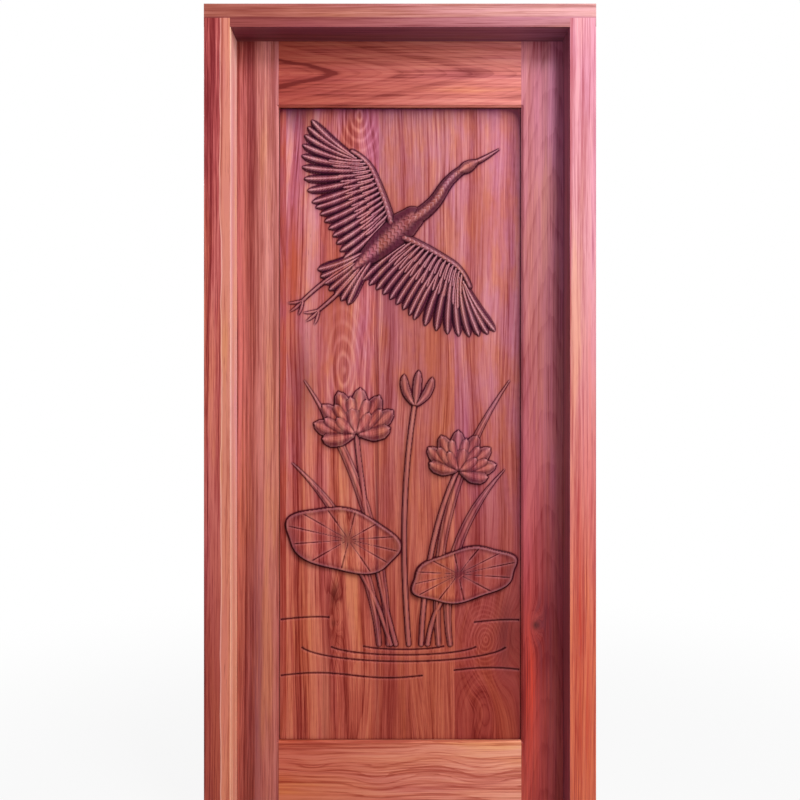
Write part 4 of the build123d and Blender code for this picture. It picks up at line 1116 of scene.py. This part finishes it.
class Grain:
    """Grain of one board: rings are circles about the pith, whose place drifts along the board.

    Broad noise, figures and knots bend them. Streaks, lines, fibres and pores are noise drawn out along the
    board and bent in the same way.
    """

    def __init__(self, paint, timber, carved):
        self.paint = paint
        self.timber = timber
        self.carved = carved
        self.fineness = CARVED_FINENESS if carved else 1.0
        self.place = paint.node("ShaderNodeTexCoord", output="Object")
        x = paint.node("ShaderNodeSeparateXYZ", None, {"Vector": self.place})
        axes = {"X": x, "Y": x.other("Y"), "Z": x.other("Z")}
        along, across = ("Z", "X") if timber.upright else ("X", "Z")
        self.along = axes[along]
        self.across = axes[across]
        self.sway = (self.noise(self.place, SWAY) - 0.5) * timber.wander
        if carved:
            self.sway = self.sway + (self.noise(self.place, LONG_WAVES) - 0.5) * LONG_WAVE_REACH
        self.jitter = (self.noise(self.place, JITTER) - 0.5) * (timber.ring * JITTER_SHARE)
        aside = self.across - timber.pith[0] - self.along * timber.lean[0] + self.sway
        deep = axes["Y"] - timber.pith[1] - self.along * timber.lean[1] + self.sway * DEEP_SWAY
        self.radius = (aside * aside + deep * deep).root() + self.along * timber.taper + self.jitter
        bend = self.sway
        swirls = [(*place, *[share * size for share in KNOT_SWIRL]) for *place, size in timber.knots]
        for *spot, push in (*timber.figures, *swirls):
            swirl = self.around(*spot).bell() * push
            self.radius = self.radius + swirl
            bend = bend + swirl
        axes[across] = self.across + bend
        self.bent = paint.node("ShaderNodeCombineXYZ", None, axes)
        self.lines = self.noise(self.bent, LINES)
        self.fibres = self.noise(self.bent, FIBRES)

    def noise(self, vector, kind):
        """One of the timber's noises, with its scales turned along this board."""
        across, along, detail, rough, shift = kind
        scale = (across, across, along) if self.timber.upright else (along, across, across)
        seed = self.timber.seed
        return vector.noise(scale, (seed + shift, seed * 1.7, seed * 0.6), detail, rough)

    def around(self, spot_across, spot_along, radius_across, radius_along):
        """Squared distance from a spot, in its two radii."""
        aside = (self.across - spot_across) / radius_across
        onward = (self.along - spot_along) / radius_along
        return aside * aside + onward * onward

    def tone(self):
        """Place in the board's tones, with 0.5 for the middle one.

        Each ring has its own tone and a dark late edge, and ovals have pale lines in place of the rings.
        Streaks, lines, fibres and dark rings come on top.
        """
        timber = self.timber
        rings = self.radius / timber.ring
        sockets = {"W": rings * RING_RATE + timber.seed, "Scale": 1.0, "Detail": 2.0, "Roughness": 0.55}
        own = self.paint.node("ShaderNodeTexNoise", {"noise_dimensions": "1D"}, sockets)
        share = rings.part()
        late = share.ease(*LATE_EDGE) - share.ease(LATE_EDGE[1], 1.0)
        tone = ((own - 0.5) * RING_TONE - (late * LATE_TONE - LATE_MEAN) * self.fineness) * timber.figured
        for *oval, count, strength in timber.ovals:
            spread = self.around(*oval)
            line = ((spread.root() + (self.sway + self.jitter) * (OVAL_SWAY / oval[2])) * count).part()
            pale = line.ease(*OVAL_RISE) - line.ease(*OVAL_FALL) - OVAL_MEAN
            spot = (spread * OVAL_EDGE).bell()
            tone = tone * (1 - spot) + pale * spot * strength
        tone = tone + (self.noise(self.bent, STREAKS) - 0.5) * (STREAK_TONE * self.fineness)
        tone = tone + (self.lines - 0.5) * (LINE_TONE * self.fineness) + (self.fibres - 0.5) * FIBRE_TONE
        tone = tone * timber.contrast + 0.5
        for ring, half_width, strength in timber.dark_rings:
            off = (self.radius - ring) / half_width
            tone = tone - (off * off).bell() * strength
        return tone

    def colour(self):
        """The board's colour: tones by their far tint, bands, hues, patches, blushes and knots. The far
        tint, the mauve patches and some bands and blushes are painted shade, sheen and light.
        """
        timber = self.timber
        tone = self.tone()
        wave = self.noise(self.place, EDGE_WAVE) - 0.5
        distance = self.along.ease(*timber.span)

        def toned(tones, far):
            stops = list(zip(TONE_PLACES, [linear(colour) for colour in tones]))
            near = self.paint.node("ShaderNodeValToRGB", {"stops": stops}, {"Fac": tone})
            # The far tint: painted shade towards the foot or the left end, painted sheen left at the top
            # right
            return near.mixed(distance, (*far, 1.0), "MULTIPLY")

        def tinted(colour, noise, kind, share):
            span, tint = kind
            return colour.mixed(noise.ease(*span) * share, tint, "MULTIPLY")

        colour = toned(timber.tones, timber.far)
        for side, edge, softness, wave_share, tones, far in timber.bands:
            beyond = (self.across + wave * wave_share).ease(edge - side * softness, edge + side * softness)
            colour = colour.mixed(beyond, toned(tones, far))
        hue = self.noise(self.bent, HUES)
        colour = tinted(colour, hue, HONEY, self.fineness)
        colour = tinted(colour, hue, PLUM, 1.0)
        if self.carved:
            patches = self.noise(self.place, PATCHES)
            upper = (1 - distance).ease(*UPPER_PART)
            # Mauve patches on the upper part: painted sheen
            colour = tinted(colour, patches, MAUVE_SHEEN, upper)
            colour = tinted(colour, patches, AMBER, upper)
        lined = CARVED_BLUSH if self.carved else PLAIN_BLUSH
        for *spot, blush, strength in timber.blushes:
            share = self.around(*spot).bell() * self.lines.ease(*lined) * strength
            colour = colour.mixed(share, linear(blush))
        for *place, size in timber.knots:
            share = self.around(*place, size, KNOT_LENGTH * size).bell() * KNOT_SHARE
            colour = colour.mixed(share, linear(KNOT_TONE))
        return colour


def timber_material(name, timber, finish, carved=False):
    """Varnished timber: its grain with dark pits, and on carved boards wash and stain with painted shade and
    shadow, and rubbed crests with a painted highlight.
    """
    material, paint = new_material(name)
    grain = Grain(paint, timber, carved)
    pits = grain.noise(grain.bent, PORES).ease(*PIT_RANGE)
    colour = grain.colour().mixed(pits * PIT_SHARE, linear(timber.tones[0]))
    height = grain.fibres * FIBRE_HEIGHT - pits
    relief = {"Strength": BUMP_STRENGTH, "Distance": finish.pore_depth, "Height": height}
    sockets = {
        "Roughness": (grain.fibres - 0.5) * FIBRE_DULLNESS + finish.varnish_roughness,
        "Normal": paint.node("ShaderNodeBump", None, relief),
        "Specular IOR Level": CARVED_SPECULAR if carved else PLAIN_SPECULAR,
    }
    if carved:
        labels = [{"attribute_name": label} for label in CUT_LABELS]
        stain_and_shade, rub_and_highlight, wash = [paint.node("ShaderNodeAttribute", label, None, "Fac") for label in labels]
        # Wash and stain darken with painted shade and shadow; the crest tone over rubbed crests is a painted
        # highlight
        colour = colour.mixed(wash * finish.wash_and_shade_strength, (*finish.wash_and_shade_colour, 1.0))
        colour = colour.mixed(stain_and_shade * finish.stain_and_shade_strength, (*finish.stain_and_shade_colour, 1.0), "MULTIPLY")
        colour = colour.mixed(rub_and_highlight * CREST_HIGHLIGHT_SHARE, linear(CREST_HIGHLIGHT_TONE))
        sockets["Coat Weight"] = rub_and_highlight * finish.carving_gloss
        sockets["Coat Roughness"] = COAT_ROUGHNESS
    sockets["Base Color"] = colour
    surface(paint, paint.node("ShaderNodeBsdfPrincipled", None, sockets))
    return material


def metal_material(name, colour, dull, roughness, stretch):
    """Worn metal: a brushed noise in its roughness and bump, and dull patches by a second noise."""
    material, paint = new_material(name)
    place = paint.node("ShaderNodeTexCoord", output="Object")
    brush = place.noise((stretch, stretch, stretch * 0.04), (3.0, 5.0, 7.0), 3.0, 0.6)
    patches = place.noise((60.0, 60.0, 60.0), (9.0, 2.0, 4.0), 4.0, 0.6).ease(0.5, 0.75)
    bump = paint.node("ShaderNodeBump", None, {"Strength": 0.12, "Distance": 0.0002, "Height": brush})
    shader = paint.node("ShaderNodeBsdfPrincipled", None, {
        "Base Color": paint.mix(patches * 0.6, (*colour, 1.0), (*dull, 1.0)),
        "Roughness": brush * 0.18 + patches * 0.15 + (roughness - 0.09),
        "Metallic": 1.0,
        "Normal": bump,
    })
    surface(paint, shader)
    return material


def dress(node, material):
    """Gives a part of the frame its finish."""
    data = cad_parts[node].data
    data.materials.clear()
    data.materials.append(material)


class DoorFinish(bpy.types.PropertyGroup):
    """Finishes of timber and metal."""

    varnish_roughness: FloatProperty(
        name="Varnish roughness", description="How dull the varnish is",
        default=0.4, min=0.0, max=1.0, subtype="FACTOR",
    )
    pore_depth: FloatProperty(
        name="Pore depth", description="Depth of the pores in the timber", default=0.0006, unit="LENGTH",
    )
    # Stain with painted shade in cuts and hollows, and painted shadow beside forms
    stain_and_shade_colour: FloatVectorProperty(
        name="Stain", description="Tint of the stain in the cuts",
        default=(0.15, 0.045, 0.145), subtype="COLOR",
    )
    stain_and_shade_strength: FloatProperty(
        name="Stain strength", description="How much stain the cuts hold", default=1.0, subtype="FACTOR",
    )
    # Wash: dark stain of the feathers and painted shade on the flanks of forms
    wash_and_shade_colour: FloatVectorProperty(
        name="Feather wash", description="Tint of the darkened feathers",
        default=linear(WASH_AND_SHADE_TONE)[:3], subtype="COLOR",
    )
    wash_and_shade_strength: FloatProperty(
        name="Wash strength", description="How much the feathers are darkened",
        default=1.0, subtype="FACTOR",
    )
    carving_gloss: FloatProperty(
        name="Carving gloss", description="How much clear varnish the carved forms hold",
        default=0.8, subtype="FACTOR",
    )
    brass_colour: FloatVectorProperty(
        name="Brass", description="Colour of the hinges", default=(0.7, 0.5, 0.2), subtype="COLOR",
    )
    steel_colour: FloatVectorProperty(
        name="Steel", description="Colour of the frame's screws", default=(0.6, 0.6, 0.62), subtype="COLOR",
    )


class DoorCarving(bpy.types.PropertyGroup):
    """Fineness of the carving."""

    grid_step: FloatProperty(
        name="Grid step", description="Distance between points of the carved face",
        default=0.0017, unit="LENGTH",
    )
    tooling_depth: FloatProperty(
        name="Tool marks", description="Depth of the marks that the tools left",
        default=0.00008, unit="LENGTH",
    )


class DoorStage(bpy.types.PropertyGroup):
    """Floor, light and camera."""

    floor_radius: FloatProperty(
        name="Floor radius", description="Radius of the round floor", default=3.2, unit="LENGTH",
    )
    floor_colour: FloatVectorProperty(
        name="Floor", description="Colour of the floor", default=(0.55, 0.55, 0.55), subtype="COLOR",
    )
    ambient: FloatProperty(
        name="Ambient", description="Strength of the light from all round", default=0.19,
    )
    key_power: FloatProperty(
        name="Key light", description="Power of the lamp at the right", default=55.0, unit="POWER",
    )
    sky_power: FloatProperty(
        name="Sky light", description="Power of the lamp above, which the varnish mirrors",
        default=75.0, unit="POWER",
    )
    back_power: FloatProperty(
        name="Back light", description="Power of the lamp behind the door", default=75.0, unit="POWER",
    )
    camera_distance: FloatProperty(
        name="Camera distance", description="From the camera to the frame's front",
        default=2.341, unit="LENGTH",
    )
    camera_height: FloatProperty(
        name="Camera height", description="From the floor to the camera", default=1.148, unit="LENGTH",
    )
    focal_length: FloatProperty(
        name="Focal length", description="Focal length of the camera", default=40.06, unit="CAMERA",
    )


class CarvedPanelOperator(bpy.types.Operator):
    """Build the panel's glued boards with the carving on their front"""

    bl_idname = "carved_door.panel"
    bl_label = "Carved panel"

    def execute(self, context):
        finish = context.scene.door_finish
        settings = context.scene.door_carving
        across = round(2 * BOARD_EDGE / settings.grid_step)
        up = round((BOARD_TOP - BOARD_FOOT) / settings.grid_step)
        columns = np.linspace(-BOARD_EDGE, BOARD_EDGE, across + 1)
        for line in GLUE_LINES:
            columns[np.abs(columns - line).argmin()] = line
        rows = np.linspace(BOARD_FOOT, BOARD_TOP, up + 1)
        relief = carving(columns, rows, settings.tooling_depth)
        tones = dict(zip(CUT_LABELS, cut_tones(relief)))
        materials = {}
        edges = (-BOARD_EDGE, *GLUE_LINES, BOARD_EDGE)
        for (name, timber), first, last in zip(BOARDS, edges, edges[1:]):
            if timber not in materials:
                materials[timber] = timber_material(timber, TIMBERS[timber], finish, carved=True)
            board = bpy.data.objects.new(name, board_mesh(name, relief, first, last, tones))
            context.scene.collection.objects.link(board)
            board.data.materials.append(materials[timber])
            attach(board, "leaf")
            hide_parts("carved_panel")
        return {"FINISHED"}


class TimbersOperator(bpy.types.Operator):
    """Finish jambs, head, stiles, rails and wedges as varnished timber"""

    bl_idname = "carved_door.timbers"
    bl_label = "Frame and leaf timbers"

    def execute(self, context):
        finish = context.scene.door_finish
        for node in PLAIN_PIECES:
            dress(node, timber_material(node, TIMBERS[node], finish))
        wedge_timber = timber_material("wedges", TIMBERS["wedges"], finish)
        for node in WEDGE_PIECES:
            dress(node, wedge_timber)
        return {"FINISHED"}


class HingesOperator(bpy.types.Operator):
    """Finish hinge plates, pins and screws as brass and steel"""

    bl_idname = "carved_door.hinges"
    bl_label = "Hinges and screws"

    def execute(self, context):
        finish = context.scene.door_finish
        brass = metal_material("hinge_brass", finish.brass_colour, *BRASS)
        steel = metal_material("screw_steel", finish.steel_colour, *STEEL)
        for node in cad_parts:
            if node.endswith(BRASS_ENDINGS):
                dress(node, brass)
        dress("head_screws", steel)
        return {"FINISHED"}


class StageOperator(bpy.types.Operator):
    """Set up floor, light from all round, three lamps and the camera"""

    bl_idname = "carved_door.stage"
    bl_label = "Stage"

    def execute(self, context):
        stage = context.scene.door_stage
        self.floor(context, stage)
        self.world(context, stage)
        for name, place, size, colour in LAMPS:
            self.lamp(context, name, place, size, getattr(stage, f"{name}_power"), colour)
        self.camera(context, stage)
        context.scene.view_settings.view_transform = "Standard"
        return {"FINISHED"}

    def seen(self, paint):
        """1 for what the camera sees, straight, in a gloss or through glass."""
        path = paint.node("ShaderNodeLightPath", output="Is Camera Ray")
        mirrored = path.math("MAXIMUM", path, path.other("Is Glossy Ray"))
        return path.math("MAXIMUM", mirrored, path.other("Is Transmission Ray"))

    def floor(self, context, stage):
        """A flat disc: one face whose corners are at the radius times cosine and sine of even turns."""
        radius = stage.floor_radius
        turns = np.linspace(0, 2 * np.pi, FLOOR_CORNERS, endpoint=False)
        rim = radius * np.stack([np.cos(turns), np.sin(turns), 0 * turns], 1)
        mesh = bpy.data.meshes.new("floor")
        mesh.from_pydata(rim.tolist(), [], [list(range(len(turns)))])
        material, paint = new_material("pale_floor")
        diffuse = paint.node("ShaderNodeBsdfDiffuse", None, {"Color": (*stage.floor_colour, 1.0)})
        white = paint.node("ShaderNodeEmission", None, {"Color": WHITE, "Strength": 1.0})
        place = paint.node("ShaderNodeTexCoord", output="Object")
        reach = paint.node("ShaderNodeVectorMath", {"operation": "LENGTH"}, {0: place}, "Value")
        fade = reach.ease(FLOOR_FADE[0], FLOOR_FADE[1] * radius)
        white_share = self.seen(paint) * between(FLOOR_WHITE, fade)
        surface(paint, paint.node("ShaderNodeMixShader", None, {0: white_share, 1: diffuse, 2: white}))
        mesh.materials.append(material)
        floor = bpy.data.objects.new("floor", mesh)
        context.scene.collection.objects.link(floor)

    def world(self, context, stage):
        """White where it is seen, and an even light from all round."""
        world = bpy.data.worlds.new("studio")
        world.use_nodes = True
        world.node_tree.nodes.clear()
        paint = Paint(world.node_tree)
        light = paint.node("ShaderNodeBackground", None, {"Color": WHITE, "Strength": stage.ambient})
        white = paint.node("ShaderNodeBackground", None, {"Color": WHITE, "Strength": 1.0})
        mix = paint.node("ShaderNodeMixShader", None, {0: self.seen(paint), 1: light, 2: white})
        paint.node("ShaderNodeOutputWorld", None, {"Surface": mix})
        context.scene.world = world

    def lamp(self, context, name, place, size, power, colour):
        """A square soft lamp that faces the middle of the door."""
        data = bpy.data.lights.new(name, "AREA")
        data.shape = "SQUARE"
        data.size = size
        data.energy = power
        data.color = colour
        lamp = bpy.data.objects.new(name, data)
        lamp.location = place
        lamp.rotation_euler = (Vector(LIT_MIDDLE) - lamp.location).to_track_quat("-Z", "Y").to_euler()
        lamp.visible_camera = False
        context.scene.collection.objects.link(lamp)

    def camera(self, context, stage):
        """A level camera in front of the door."""
        data = bpy.data.cameras.new("camera")
        data.lens = stage.focal_length
        data.sensor_width = SENSOR_WIDTH
        camera = bpy.data.objects.new("camera", data)
        camera.location = (0.0, CAD_BOX[0].y - stage.camera_distance, stage.camera_height)
        camera.rotation_euler = (math.pi / 2, 0.0, 0.0)
        context.scene.collection.objects.link(camera)
        context.scene.camera = camera


class VIEW3D_PT_carved_door(bpy.types.Panel):
    """Lists the door's pieces and settings"""

    bl_label = "Carved door"
    bl_space_type = "VIEW_3D"
    bl_region_type = "UI"
    bl_category = "Carved door"

    def draw(self, context):
        for operator in OPERATORS:
            self.layout.operator(operator.bl_idname)
        for group in (context.scene.door_finish, context.scene.door_carving, context.scene.door_stage):
            for name in group.__annotations__:
                self.layout.prop(group, name)


OPERATORS = (CarvedPanelOperator, TimbersOperator, HingesOperator, StageOperator)
CLASSES = (DoorFinish, DoorCarving, DoorStage, *OPERATORS, VIEW3D_PT_carved_door)


def register():
    for cls in CLASSES:
        bpy.utils.register_class(cls)
    bpy.types.Scene.door_finish = PointerProperty(type=DoorFinish)
    bpy.types.Scene.door_carving = PointerProperty(type=DoorCarving)
    bpy.types.Scene.door_stage = PointerProperty(type=DoorStage)


def unregister():
    del bpy.types.Scene.door_stage
    del bpy.types.Scene.door_carving
    del bpy.types.Scene.door_finish
    for cls in reversed(CLASSES):
        bpy.utils.unregister_class(cls)


def main():
    register()
    bpy.ops.carved_door.stage()
    bpy.ops.carved_door.timbers()
    bpy.ops.carved_door.hinges()
    bpy.ops.carved_door.panel()


if __name__ == "__main__":
    main()
